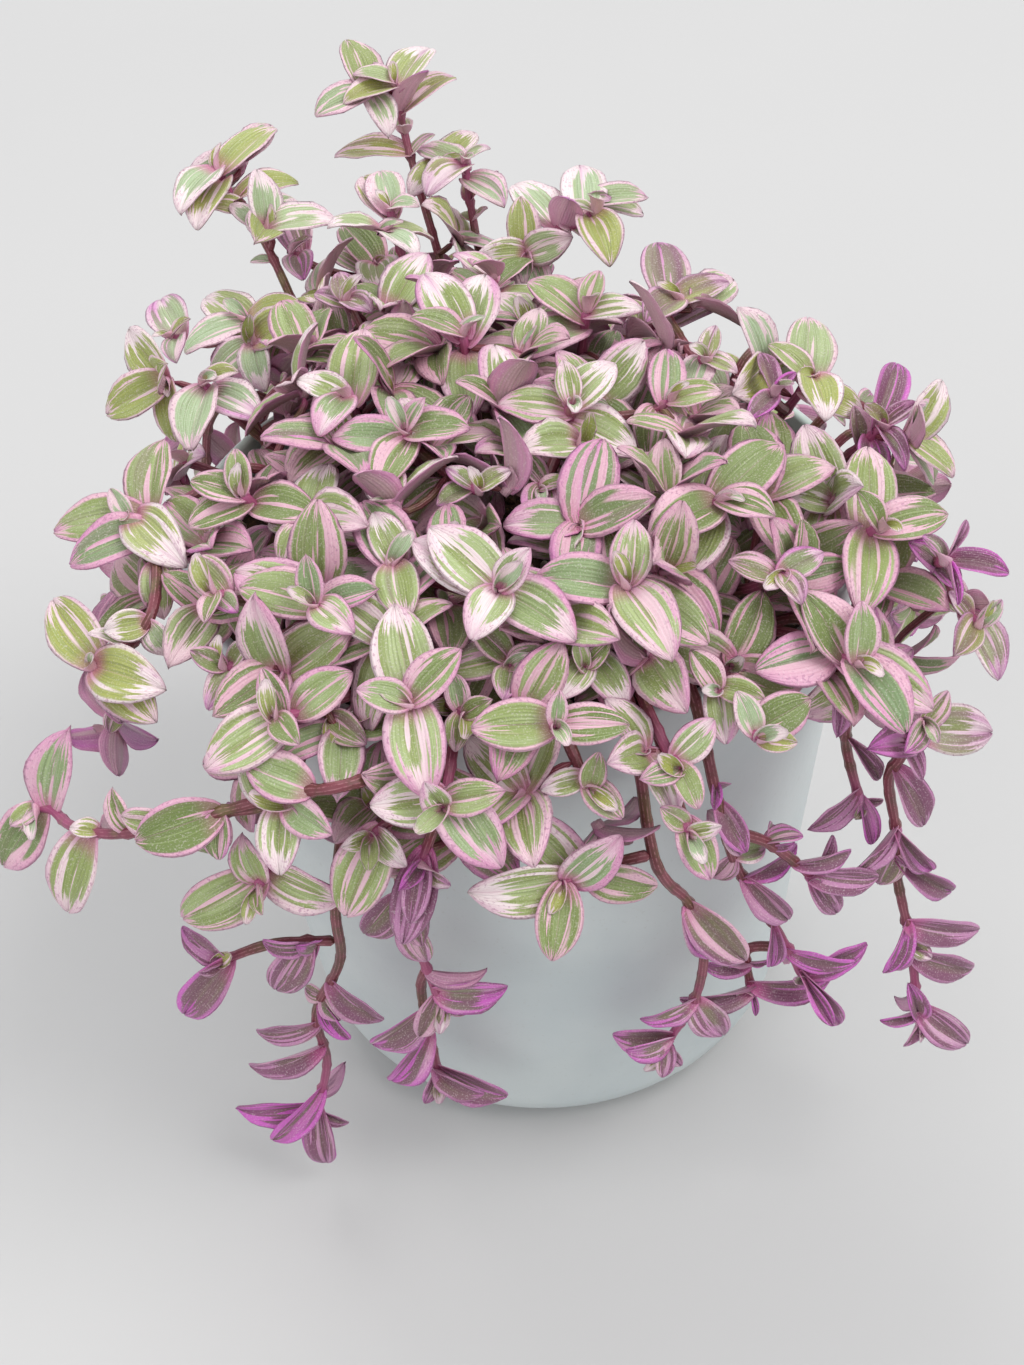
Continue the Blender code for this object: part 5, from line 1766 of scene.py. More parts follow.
@dataclass(frozen=True)
class FloorFinish:
    """A plain pale matt floor."""

    pale: Colour = shade("C9C9C9")
    faint: Colour = shade("C6C6C6")

    def dress(self) -> bpy.types.Material:
        """Make the material of the floor.

        Returns:
            The material.
        """
        bench = Bench("matt_floor")
        clouds = bench.noise(bench.place(), 3.0, 2.0)
        return bench.finish({
            "Base Color": bench.mix(clouds, self.pale, self.faint),
            "Roughness": 0.75 + 0.1 * clouds,
            "Specular IOR Level": 0.05,
        })


def put_up(name: str, data: bpy.types.ID) -> bpy.types.Object:
    """Put a mesh, a light or a camera in the scene.

    Args:
        name: Its name.
        data: The mesh, light or camera.

    Returns:
        Its object.
    """
    thing = bpy.data.objects.new(name, data)
    bpy.context.scene.collection.objects.link(thing)
    return thing


def unit(vectors: np.ndarray) -> np.ndarray:
    """Return vectors with their lengths made 1."""
    return vectors / np.maximum(np.linalg.norm(vectors, axis=-1, keepdims=True), 1e-12)


@dataclass(frozen=True)
class Mood:
    """How rosy and how old a leaf or stem is, and its seed."""

    rosy: float = 0.0
    age: float = 0.0
    seed: float = 0.0


@dataclass
class Skin:
    """A closed shape of a piece: rings of points between two end points.

    alongs says how far along each ring lies. A round shape has one side. A sheet has shares, which
    say how far across its columns lie, and its rings go across its top and back underneath.
    """

    rings: np.ndarray
    ends: tuple[np.ndarray, np.ndarray]
    alongs: np.ndarray
    mood: Mood = Mood()
    material: int = 0
    shares: np.ndarray | None = None

    def spans(self) -> tuple[np.ndarray, ...]:
        """Find how far across the strip after each of a ring's points starts and ends.

        Returns:
            The starts, the ends, and each strip's side: 1 on top of a sheet, and 0 elsewhere.
        """
        if self.shares is None:
            steps = np.arange(self.rings.shape[1]) / self.rings.shape[1]
            return steps, steps + 1.0 / len(steps), np.zeros(len(steps))
        there = np.append(self.shares, self.shares[-2::-1])
        return there[:-1], there[1:], np.repeat((1.0, 0.0), len(self.shares) - 1)

    def places(self) -> np.ndarray:
        """Return all its points: the rings, then the two end points."""
        return np.vstack([self.rings.reshape(-1, 3), *self.ends])

    def faces(self, first: int) -> tuple[list[list[int]], np.ndarray]:
        """Join its points by strips between the rings and a fan at each end.

        Args:
            first: The number of its first point.

        Returns:
            The faces, and for each of their corners how far along and across it lies and its side.
        """
        count, width = self.rings.shape[:2]
        here = np.arange(width)
        after = (here + 1) % width
        end = np.full(width, count * width)
        last = end - width
        parts = (strips(count, width), np.stack([end, after, here], 1),
                 np.stack([end + 1, last + here, last + after], 1))
        one, other, side = self.spans()
        middle = (one + other) / 2.0
        across = (np.tile(np.stack([one, other, other, one], 1), (count - 1, 1)),
                  np.stack([middle, other, one], 1), np.stack([middle, one, other], 1))
        alongs = np.append(np.repeat(self.alongs, width), (0.0, 1.0))
        faces, reads = [], []
        for part, share in zip(parts, across):
            faces += (part + first).tolist()
            sides = np.resize(side, (len(part), 1))
            read = np.stack(np.broadcast_arrays(alongs[part], share, sides), 2)
            reads.append(read.reshape(-1, 3))
        return faces, np.vstack(reads)


def two_sided(sheet: np.ndarray, thick: np.ndarray) -> np.ndarray:
    """Give a sheet its thickness, with both sides meeting along its margins.

    Args:
        sheet: Rows of points.
        thick: The thickness at each point.

    Returns:
        The rings of its skin.
    """
    along, across = np.gradient(sheet, axis=(0, 1))
    half = unit(np.cross(across, along)) * (thick[..., None] / 2.0)
    half[:, [0, -1]] = 0.0
    return np.concatenate([sheet + half, (sheet - half)[:, -2:0:-1]], 1)


@dataclass
class Piece:
    """One piece of the visual model, gathered from skins.

    Its map gives each side of each skin a cell of its own.
    """

    name: str
    materials: list[bpy.types.Material]
    skins: list[Skin] = field(default_factory=list)
    cell_gap: float = 0.03

    def make(self, slot: str, replaces: str = "") -> None:
        """Make the piece, ride it on the one body and hide the CAD node that it replaces.

        Args:
            slot: The record's slot for it; not used.
            replaces: The CAD node that it replaces.
        """
        places, faces, reads, moods, cells, slots = [], [], [], [], [], []
        points, cell = 0, 0
        for skin in self.skins:
            own_faces, own_reads = skin.faces(points)
            faces += own_faces
            slots += [skin.material] * len(own_faces)
            reads.append(own_reads)
            moods.append(np.tile(astuple(skin.mood), (len(own_reads), 1)))
            cells.append(cell + own_reads[:, 2].astype(int))
            cell = int(cells[-1].max()) + 1
            places.append(skin.places())
            points += len(places[-1])
        mesh = bpy.data.meshes.new(self.name)
        mesh.from_pydata(np.vstack(places).tolist(), [], faces)
        for material in self.materials:
            mesh.materials.append(material)
        mesh.polygons.foreach_set("material_index", slots)
        mesh.polygons.foreach_set("use_smooth", [True] * len(slots))
        blade = np.vstack(reads)
        for name, values in (("blade", blade), ("mood", np.vstack(moods))):
            layer = mesh.attributes.new(name, "FLOAT_VECTOR", "CORNER")
            layer.data.foreach_set("vector", values.astype(np.float32).ravel())
        self.lay_out(mesh, blade, np.concatenate(cells), cell)
        piece = put_up(self.name, mesh)
        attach(piece, "root")
        if replaces:
            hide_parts(replaces)
        log.info("%s: %d shapes, %d faces", self.name, len(self.skins), len(faces))

    def lay_out(self, mesh: bpy.types.Mesh, reads: np.ndarray, cells: np.ndarray,
                count: int) -> None:
        """Lay the faces out flat, each cell apart from the others.

        Args:
            mesh: The piece's mesh.
            reads: Where each corner lies.
            cells: Each corner's cell.
            count: How many cells there are.
        """
        columns = math.ceil(math.sqrt(count))
        inside = self.cell_gap + reads[:, :2] * (1.0 - 2.0 * self.cell_gap)
        corner = np.stack([cells % columns, cells // columns], 1)
        layer = mesh.uv_layers.new(name="OFBake")
        layer.data.foreach_set("uv", ((corner + inside) / columns).astype(np.float32).ravel())


@dataclass(frozen=True)
class Blade:
    """The fine form of a leaf: thin and cupped, with lobes at its root and waves in its margins."""

    fuller: float = 1.06
    shoulder: float = 0.88
    slimming: float = 0.80
    slim_from: float = 0.6
    closing: Pair = (0.3, 3.6)
    pillow: float = 0.055
    rows: int = 13
    columns: tuple[float, ...] = (-1.0, -0.87, -0.62, -0.32, 0.0, 0.32, 0.62, 0.87, 1.0)
    thickness: float = 0.00058
    thin_margin: float = 0.62
    lobe: float = 0.060
    lobe_length: float = 0.13
    wave: Pair = (0.010, 0.030)
    waves: Pair = (1.1, 2.1)
    lopsided: float = 0.07
    groove: float = 0.00024
    groove_width: float = 0.12
    tip_drop: float = 0.045
    tip_from: float = 0.75
    sway: float = 0.03
    first_row: float = 0.022
    last_row: float = 0.985
    eased: float = 0.65

    def skin(self, leaf: Leaf, mood: Mood) -> Skin:
        """Model a leaf on the middle surface of its plain solid.

        Args:
            leaf: The leaf.
            mood: What its finish reads.

        Returns:
            The leaf's skin.
        """
        draw = Random(leaf.seed)
        steps = np.arange(self.rows) / (self.rows - 1)
        steps = self.eased * (0.5 - 0.5 * np.cos(math.pi * steps)) + (1.0 - self.eased) * steps
        alongs = self.first_row + (self.last_row - self.first_row) * steps
        u = alongs[:, None]
        v = np.array(self.columns)[None, :]
        edge = np.abs(v)
        hump = 4.0 * u * (1.0 - u)
        chord = np.array(leaf.chord)
        side = np.cross(chord, np.array(leaf.face))
        midribs = np.array([leaf.midrib(along) for along in alongs])
        midrib, normal = midribs.swapaxes(0, 1)[:, :, None]
        slim = max(leaf.rosy - self.slim_from, 0.0)
        fullness = leaf.width / 2.0 * (self.fuller - self.slimming * slim)
        lopsided = 1.0 + self.lopsided * draw.uniform(-1.0, 1.0) * v
        reach = fullness * half_width(u) ** self.shoulder * lopsided
        pillow = self.pillow * leaf.width * 4.0 * edge * (1.0 - edge) * np.sqrt(u)
        fold = (leaf.fold + slim * draw.uniform(*self.closing)) * (1.0 - LEAF.fold_lost * u)
        out = v * reach * np.cos(fold) + leaf.length * self.sway * draw.uniform(-1.0, 1.0) * u**2
        lift = edge * (0.4 + 0.6 * edge) * reach * np.sin(fold) + pillow
        for half in (-1.0, 1.0):
            turns = draw.uniform(*self.waves) * math.tau * u + draw.uniform(0.0, math.tau)
            size = leaf.length * draw.uniform(*self.wave)
            lift = lift + (v * half > 0.0) * size * edge**2.5 * hump * np.sin(turns)
        drop = leaf.length * self.tip_drop
        lift = lift - self.groove * np.exp(-((v / self.groove_width) ** 2)) * np.sqrt(hump)
        lift = lift - drop * np.clip((u - self.tip_from) / (1.0 - self.tip_from), 0.0, 1.0) ** 2
        back = self.lobe * leaf.length * edge**1.5 * np.exp(-((u / self.lobe_length) ** 2))
        sheet = midrib + side * out[..., None] + normal * lift[..., None] - chord * back[..., None]
        thick = self.thickness * (1.0 - self.thin_margin * edge**3) * hump**0.35
        tip = np.array(leaf.tip()) - normal[-1, 0] * drop
        tip = tip + side * (sheet[-1, len(self.columns) // 2] - midrib[-1, 0]) @ side
        ends = (np.array(leaf.base), tip)
        return Skin(two_sided(sheet, thick), ends, alongs, mood, shares=(v[0] + 1.0) / 2.0)


@dataclass(frozen=True)
class Scroll:
    """The young leaf in a shoot's heart: a cornet, still rolled round its base."""

    rows: int = 9
    columns: int = 13
    length: Pair = (0.0062, 0.0095)
    half: float = 0.0047
    radii: Pair = (0.0010, 0.0025)
    overlap: float = 0.45
    thickness: float = 0.00034
    lean: float = 0.35
    tip_out: float = 0.42
    sunk: float = 0.0010

    def skin(self, heart: Vector, facing: Vector, mood: Mood) -> Skin:
        """Model a rolled leaf.

        Args:
            heart: The heart that it stands in.
            facing: Which way it stands.
            mood: What its finish reads.

        Returns:
            The leaf's skin.
        """
        draw = Random(mood.seed)
        leaning = np.array([draw.uniform(-1.0, 1.0) for _ in range(3)]) * self.lean
        way = unit(np.array(facing) + leaning)
        length = draw.uniform(*self.length)
        size = length / self.length[1]
        turn = draw.uniform(0.0, math.tau)
        across = unit(np.cross(way, [0.31, 0.52, 0.79]))
        one = across * math.cos(turn) + np.cross(way, across) * math.sin(turn)
        other = np.cross(way, one)
        alongs = np.linspace(0.02, 0.97, self.rows)
        shares = np.linspace(0.0, 1.0, self.columns)
        u = alongs[:, None, None]
        v = 1.0 - 2.0 * shares[None, :, None]
        radius = (self.radii[0] + (self.radii[1] - self.radii[0]) * u) * size
        angle = v * self.half * size * (0.75 + 0.5 * u) * (1.0 - u**2.6) ** 0.7 / radius
        reach = radius * (1.0 + self.overlap * v * (1.0 - u))
        root = np.array(heart) - way * self.sunk
        axis = root + way * length * u * (1.0 - 0.25 * u) + one * length * self.tip_out * u**2
        sheet = axis + (one * (reach * np.cos(angle)) + other * (reach * np.sin(angle)))
        thick = np.full(sheet.shape[:2], self.thickness) * np.sqrt(1.0 - u[..., 0])
        tip = sheet[-1, self.columns // 2] + (way * 0.5 + one * 0.5) * self.thickness
        return Skin(two_sided(sheet, thick), (root, tip), alongs, mood, shares=shares)


@dataclass(frozen=True)
class Cane:
    """The fine form of a stem: round and smooth, swollen at its joints and leaf roots."""

    sides: int = 9
    spacing: float = 0.0016
    swelling: float = 0.00030
    swelling_length: float = 0.0011
    pinch: float = 0.00010
    pinch_length: float = 0.0033
    slimmest: float = 0.85
    thickest: float = 1.45
    rounding: float = 0.0010
    blunt: float = 0.25
    curve_steps: int = 12

    def smooth(self, path: list[Vector]) -> np.ndarray:
        """Draw a smooth curve through a plain stem's path, as evenly spaced points.

        Args:
            path: The path.

        Returns:
            The points.
        """
        points = np.array([tuple(place) for place in path])
        ends = np.vstack([2.0 * points[0] - points[1], points, 2.0 * points[-1] - points[-2]])
        t = np.linspace(0.0, 1.0, self.curve_steps, endpoint=False)[:, None]
        curve = []
        for a, b, c, d in zip(ends, ends[1:], ends[2:], ends[3:]):
            gaps = [max(np.linalg.norm(q - p), 1e-9) ** 0.5 for p, q in ((a, b), (b, c), (c, d))]
            leave = (c - b) + gaps[1] * ((b - a) / gaps[0] - (c - a) / (gaps[0] + gaps[1]))
            arrive = (c - b) + gaps[1] * ((d - c) / gaps[2] - (d - b) / (gaps[1] + gaps[2]))
            curve.append(bridge(b, leave, c, arrive, t))
        dense = np.vstack([*curve, points[-1:]])
        run = np.append(0.0, np.cumsum(np.linalg.norm(np.diff(dense, axis=0), axis=1)))
        even = np.linspace(0.0, run[-1], max(int(run[-1] / self.spacing), 5))
        return np.stack([np.interp(even, run, column) for column in dense.T], 1)

    def skin(self, path: list[Vector], knots: list[Vector], mood: Mood, radii: Pair) -> Skin:
        """Model a stem.

        Args:
            path: Its path.
            knots: Where it is swollen.
            mood: What its finish reads.
            radii: Its radius at its root and at its tip.

        Returns:
            The stem's skin.
        """
        places = self.smooth(path)
        heading = unit(np.gradient(places, axis=0))
        shares = np.linspace(0.0, 1.0, len(places))
        radius = radii[0] + (radii[1] - radii[0]) * shares
        length = np.linalg.norm(np.diff(places, axis=0), axis=1).sum()
        for knot in knots:
            away = np.linalg.norm(places - np.array(knot), axis=1)
            radius = (radius + self.swelling * np.exp(-((away / self.swelling_length) ** 2))
                      - self.pinch * np.exp(-((away / self.pinch_length) ** 2)))
        radius = np.clip(radius, radii[1] * self.slimmest, radii[0] * self.thickest)
        left = np.minimum(shares, 1.0 - shares) * length / self.rounding
        radius = radius * np.sqrt(np.clip(left + self.blunt, 0.0, 1.0))
        side = unit(np.cross(heading[0], [0.42, 0.31, 0.85]))
        rings = []
        angles = (math.tau * np.arange(self.sides) / self.sides)[:, None]
        for place, way, reach in zip(places[1:-1], heading[1:-1], radius[1:-1]):
            side = unit(side - way * (side @ way))
            other = np.cross(way, side)
            rings.append(place + reach * (np.cos(angles) * side + np.sin(angles) * other))
        return Skin(np.array(rings), (places[0], places[-1]), shares[1:-1], mood, 1)


class Tint(Enum):
    """The record's slots for leafy stems, each with the mean rosiness that it goes up to."""

    LEAFY_GREEN = 0.28
    LEAFY_BLUSH = 0.55
    LEAFY_PURPLE = 1.01

    @classmethod
    def of(cls, leaves: list[Leaf]) -> str:
        """Return the slot that suits some leaves."""
        mean = sum(leaf.rosy for leaf in leaves) / max(len(leaves), 1)
        return next(tint.name.lower() for tint in cls if mean < tint.value)


@dataclass
class Foliage:
    """The leafy stems: a fine piece for each of the solids' leafy nodes."""

    vine: Vine
    materials: list[bpy.types.Material]
    blade: Blade = Blade()
    scroll: Scroll = Scroll()
    cane: Cane = Cane()
    top_age: float = -0.35
    crest_age: float = -0.70
    # The age of the leaves along the stems inside the mound darkens them: partly their age, partly
    # painted shade
    joint_age_and_shade: float = 0.35
    heart_age: float = -0.9
    pair_spacing: float = 0.0085
    pair_share: float = 0.5
    low_pair_share: float = 0.2
    pair_room: float = 30.0
    pair_length: Pair = (0.0060, 0.0105)
    pair_width: float = 0.78
    pair_pitch: Pair = (25.0, 60.0)
    pair_age: float = -0.8

    def build(self) -> None:
        """Build every leafy stem."""
        for node in dict.fromkeys(stem.node for stem in self.vine.stems.values()):
            leaves = self.vine.leaves.get(node, [])
            piece = Piece(node + "_looks", self.materials)
            for stem in self.vine.stems.values():
                if stem.node == node:
                    piece.skins += self.shoot(stem, leaves) + self.pairs(stem)
            moods = [Mood(leaf.rosy, self.age(leaf), leaf.seed) for leaf in leaves]
            piece.skins += [self.blade.skin(leaf, mood) for leaf, mood in zip(leaves, moods)]
            piece.make(Tint.of(leaves), node)

    def age(self, leaf: Leaf) -> float:
        """Find a leaf's age: small leaves near a heart are young, and so are those on the crest.

        Args:
            leaf: The leaf.

        Returns:
            Its age.
        """
        grown = min(max((leaf.length - LEAF.shortest) / (LEAF.length - LEAF.shortest), 0.0), 1.0)
        on_crest = leaf.base.z > POT.height and not in_mass(leaf.base)
        age = self.joint_age_and_shade * leaf.old if leaf.old else self.top_age * (1.0 - grown)
        return min(age, self.crest_age) if on_crest else age

    def shoot(self, stem: Stem, leaves: list[Leaf]) -> list[Skin]:
        """Model a stem and the young leaf in its heart.

        Args:
            stem: The stem.
            leaves: The leaves of its node.

        Returns:
            Their skins.
        """
        draw = Random(stem.shoot.name + " looks")
        knots = [joint for joint, _ in stem.joints(STEM.joint_spacing)]
        knots += [leaf.base for leaf in leaves]
        mood = Mood(stem.shoot.rosy, 0.0, draw.random())
        cane = self.cane.skin(stem.path, knots, mood, (STEM.radius, STEM.tip_radius))
        young = Mood(stem.shoot.rosy * 0.6, self.heart_age, draw.random())
        return [cane, self.scroll.skin(stem.path[-1], stem.facing, young)]

    def pairs(self, stem: Stem) -> list[Skin]:
        """Grow pairs of small young leaves at the joints that show outside the mass.

        Args:
            stem: The stem.

        Returns:
            The leaves' skins.
        """
        draw = Random(stem.shoot.name + " pairs")
        skins = []
        for joint, along in stem.joints(self.pair_spacing):
            share = self.pair_share if joint.z > POT.height else self.low_pair_share
            kept = draw.random() < share and not in_mass(joint)
            turn = Matrix.Rotation(draw.uniform(0.0, math.tau), 3, along)
            side = turn @ along.orthogonal().normalized()
            for way in (side, -side):
                pitch = math.radians(draw.uniform(*self.pair_pitch))
                length = draw.uniform(*self.pair_length)
                chord = way * math.cos(pitch) + along * math.sin(pitch)
                rosy = stem.shoot.rosy * draw.uniform(0.6, 1.0)
                wish = along * 0.5 + UP * 0.4 - VIEW.forward * 0.5
                leaf = Leaf.grown(joint, chord, wish, length, rosy, draw, length * self.pair_width)
                settled = self.vine.settle(leaf, along, stem.node, self.pair_room) if kept else None
                if settled:
                    mood = Mood(rosy, self.pair_age * (1.0 - rosy), settled.seed)
                    skins.append(self.blade.skin(settled, mood))
        return skins


def thinned(places: Iterable[Vector], spacing: float) -> list[Vector]:
    """Keep each place that lies far enough from those kept before it.

    Args:
        places: The places.
        spacing: How far apart they have to lie.

    Returns:
        The places that are kept.
    """
    kept: list[Vector] = []
    for place in places:
        if all((place - other).length > spacing for other in kept):
            kept.append(place)
    return kept


@dataclass
class Undergrowth:
    """The leaves on short side shoots of the nearest stems: inside the mound and up its crest."""

    vine: Vine
    materials: list[bpy.types.Material]
    shells: tuple[float, ...] = (0.88, 0.76, 0.64)
    spacing: tuple[float, ...] = (0.0180, 0.0190, 0.0200)
    # Deeper shells get older leaves, whose darker colours are partly their age and partly painted
    # shade deep in the mound
    ages: tuple[Pair, ...] = ((-0.1, 0.7), (0.2, 0.8), (0.5, 0.8))
    crest_ages: Pair = (-0.9, -0.5)
    crest_joints: float = 0.006
    crest_spacing: float = 0.0210
    crest_out: Pair = (0.006, 0.012)
    crest_up: float = 0.35
    shell_depth: Pair = (0.97, 1.03)
    crest_size: Pair = (0.80, 1.15)
    mound_size: Pair = (0.75, 1.15)
    lowest: float = math.radians(118.0)
    trials: int = 900
    per_heart: int = 4
    rosy: Pair = (0.05, 0.42)
    low_blush: float = 0.25
    facing_spread: float = 0.55
    leaf_swing: Pair = (-0.3, 0.3)
    next_tilt: float = 10.0
    tilt_spread: Pair = (-16.0, 16.0)
    middle_nudge: float = 0.002
    heart_age: float = -0.6
    room: float = 30.0
    under_edge: float = 0.014
    radii: Pair = (0.00100, 0.00085)
    ways_tried: int = 12
    joint_spacing: float = 0.004
    parting: float = 0.004
    longest: float = 0.036
    sectors: int = 10
    blade: Blade = Blade(rows=9, columns=(-1.0, -0.8, -0.42, 0.0, 0.42, 0.8, 1.0))
    scroll: Scroll = Scroll(rows=6, columns=11)
    cane: Cane = Cane(sides=7, spacing=0.0022)

    def build(self) -> None:
        """Grow the undergrowth and build it as one piece for each sector of the mound."""
        names = [f"undergrowth_{sector + 1:02d}" for sector in range(self.sectors)]
        pieces = [Piece(name, self.materials) for name in names]
        leaves: list[list[Leaf]] = [[] for _ in pieces]
        spots = [(heart, self.crest_ages, self.crest_size) for heart in self.crest_hearts()]
        for shell, spacing, ages in zip(self.shells, self.spacing, self.ages):
            spots += [(heart, ages, self.mound_size) for heart in self.hearts(shell, spacing)]
        for heart, ages, sizes in spots:
            sector = int((math.atan2(heart.y, heart.x) / math.tau % 1.0) * self.sectors)
            skins, grown = self.shoot(heart, ages, sizes)
            pieces[sector].skins += skins
            leaves[sector] += grown
        for piece, own in zip(pieces, leaves):
            piece.make(Tint.of(own))
        log.info("undergrowth: %d leaves", sum(len(own) for own in leaves))

    def crest_hearts(self) -> list[Vector]:
        """Find hearts close beside the stems that stand up out of the mass.

        Returns:
            The hearts.
        """
        draw = Random("crest")
        spots = []
        for name, stem in self.vine.stems.items():
            for joint, _ in stem.joints(self.crest_joints):
                angle = draw.uniform(0.0, math.tau)
                out = Vector((math.cos(angle), math.sin(angle), self.crest_up))
                out *= draw.uniform(*self.crest_out)
                if name.startswith("crest") and not in_mass(joint):
                    spots.append(joint + out)
        return thinned(spots, self.crest_spacing)

    def hearts(self, shell: float, spacing: float) -> list[Vector]:
        """Spread hearts over a shell of the mound.

        Args:
            shell: The shell's share of the mound's size.
            spacing: The least distance between hearts.

        Returns:
            The hearts.
        """
        draw = Random(f"shell {shell}")
        places = MOUND.spread(self.trials, self.lowest,
                              lambda: shell * draw.uniform(*self.shell_depth))
        spots = (self.vine.lowered(place) for place in places)
        inside = (spot for spot in spots if spot and in_mass(spot + UP * self.under_edge))
        return thinned(inside, spacing)

    def shoot(self, heart: Vector, ages: Pair, sizes: Pair) -> tuple[list[Skin], list[Leaf]]:
        """Grow a side shoot with its leaves at a heart.

        Args:
            heart: The heart.
            ages: Its leaves' least and most age.
            sizes: Their least and most size.

        Returns:
            The skins and the leaves, or none where nothing finds room.
        """
        draw = Random(f"{heart.x:.5f} {heart.y:.5f}")
        outward = MOUND.outward(heart) * 0.6 if in_mass(heart) else VIEW.forward * -0.5
        facing = (outward + UP * 0.4 + nudge(draw, self.facing_spread)).normalized()
        path = self.way(heart, facing, draw)
        if path is None:
            return [], []
        rosy = draw.uniform(*self.rosy) + (self.low_blush if heart.z < POT.soil_top else 0.0)
        turn = draw.uniform(0.0, math.tau)
        leaves = []
        for index in range(self.per_heart):
            angle = turn + index * LEAF_TO_LEAF + draw.uniform(*self.leaf_swing)
            tilt = self.next_tilt * index + draw.uniform(*self.tilt_spread)
            chord = swung(facing, angle, math.radians(tilt))
            length = LEAF.length * draw.uniform(*sizes)
            leaf = Leaf.grown(heart, chord, facing, length, rosy, draw)
            settled = self.vine.settle(leaf, facing, "undergrowth", self.room)
            if settled:
                leaves.append(settled)
        if not leaves:
            return [], []
        self.vine.thicket.add(plain_stem(path), "undergrowth")
        age = draw.uniform(*ages)
        skins = [self.blade.skin(leaf, Mood(leaf.rosy, age, leaf.seed)) for leaf in leaves]
        skins.append(self.cane.skin(path, [path[0]], Mood(rosy, age, draw.random()), self.radii))
        skins.append(self.scroll.skin(heart, facing, Mood(rosy, self.heart_age, draw.random())))
        return skins, leaves

    def way(self, heart: Vector, facing: Vector, draw: Random) -> list[Vector] | None:
        """Find a way for a side shoot from one of the nearest stems.

        Args:
            heart: Where it ends.
            facing: Which way it ends.
            draw: The random numbers.

        Returns:
            Its path, or None.
        """
        near = []
        for stem in self.vine.stems.values():
            gaps = [((joint - heart).length, joint) for joint, _ in stem.joints(self.joint_spacing)]
            gaps = [gap for gap in gaps if gap[0] > self.parting]
            if gaps:
                near.append((*min(gaps, key=lambda gap: gap[0]), stem.node))
        near.sort(key=lambda start: start[0])
        for gap, start, node in near[:self.ways_tried]:
            if gap > self.longest:
                break
            middle = (start + heart) / 2.0 + nudge(draw, self.middle_nudge)
            first = (middle - start).normalized()
            path = straightened(smooth_path([start, middle, heart], first, facing))
            if not self.vine.thicket.meets(tube(path, [self.radii[0]] * len(path)), node):
                return path
        return None


@dataclass
class Pot:
    """The pot's piece: the solid's own outline, turned and rounded more finely."""

    material: bpy.types.Material
    sizes: PotSizes = PotSizes(sides=144, corner_steps=12, rim_steps=10)
    wall_steps: int = 14
    long_step: float = 0.05

    def build(self) -> None:
        """Build the pot."""
        outline = self.sizes.outline()[1:-1]
        fine = []
        for (radius, height), (next_radius, next_height) in zip(outline, outline[1:]):
            steps = self.wall_steps if abs(next_height - height) > self.long_step else 1
            for share in (step / steps for step in range(steps)):
                fine.append((radius + (next_radius - radius) * share,
                             height + (next_height - height) * share))
        fine.append(outline[-1])
        ends = (np.zeros(3), np.array([0.0, 0.0, self.sizes.wall]))
        skin = Skin(turned(fine, self.sizes.sides), ends, np.linspace(0.04, 0.96, len(fine)))
        Piece("pot_looks", [self.material], [skin]).make("pot", "pot")


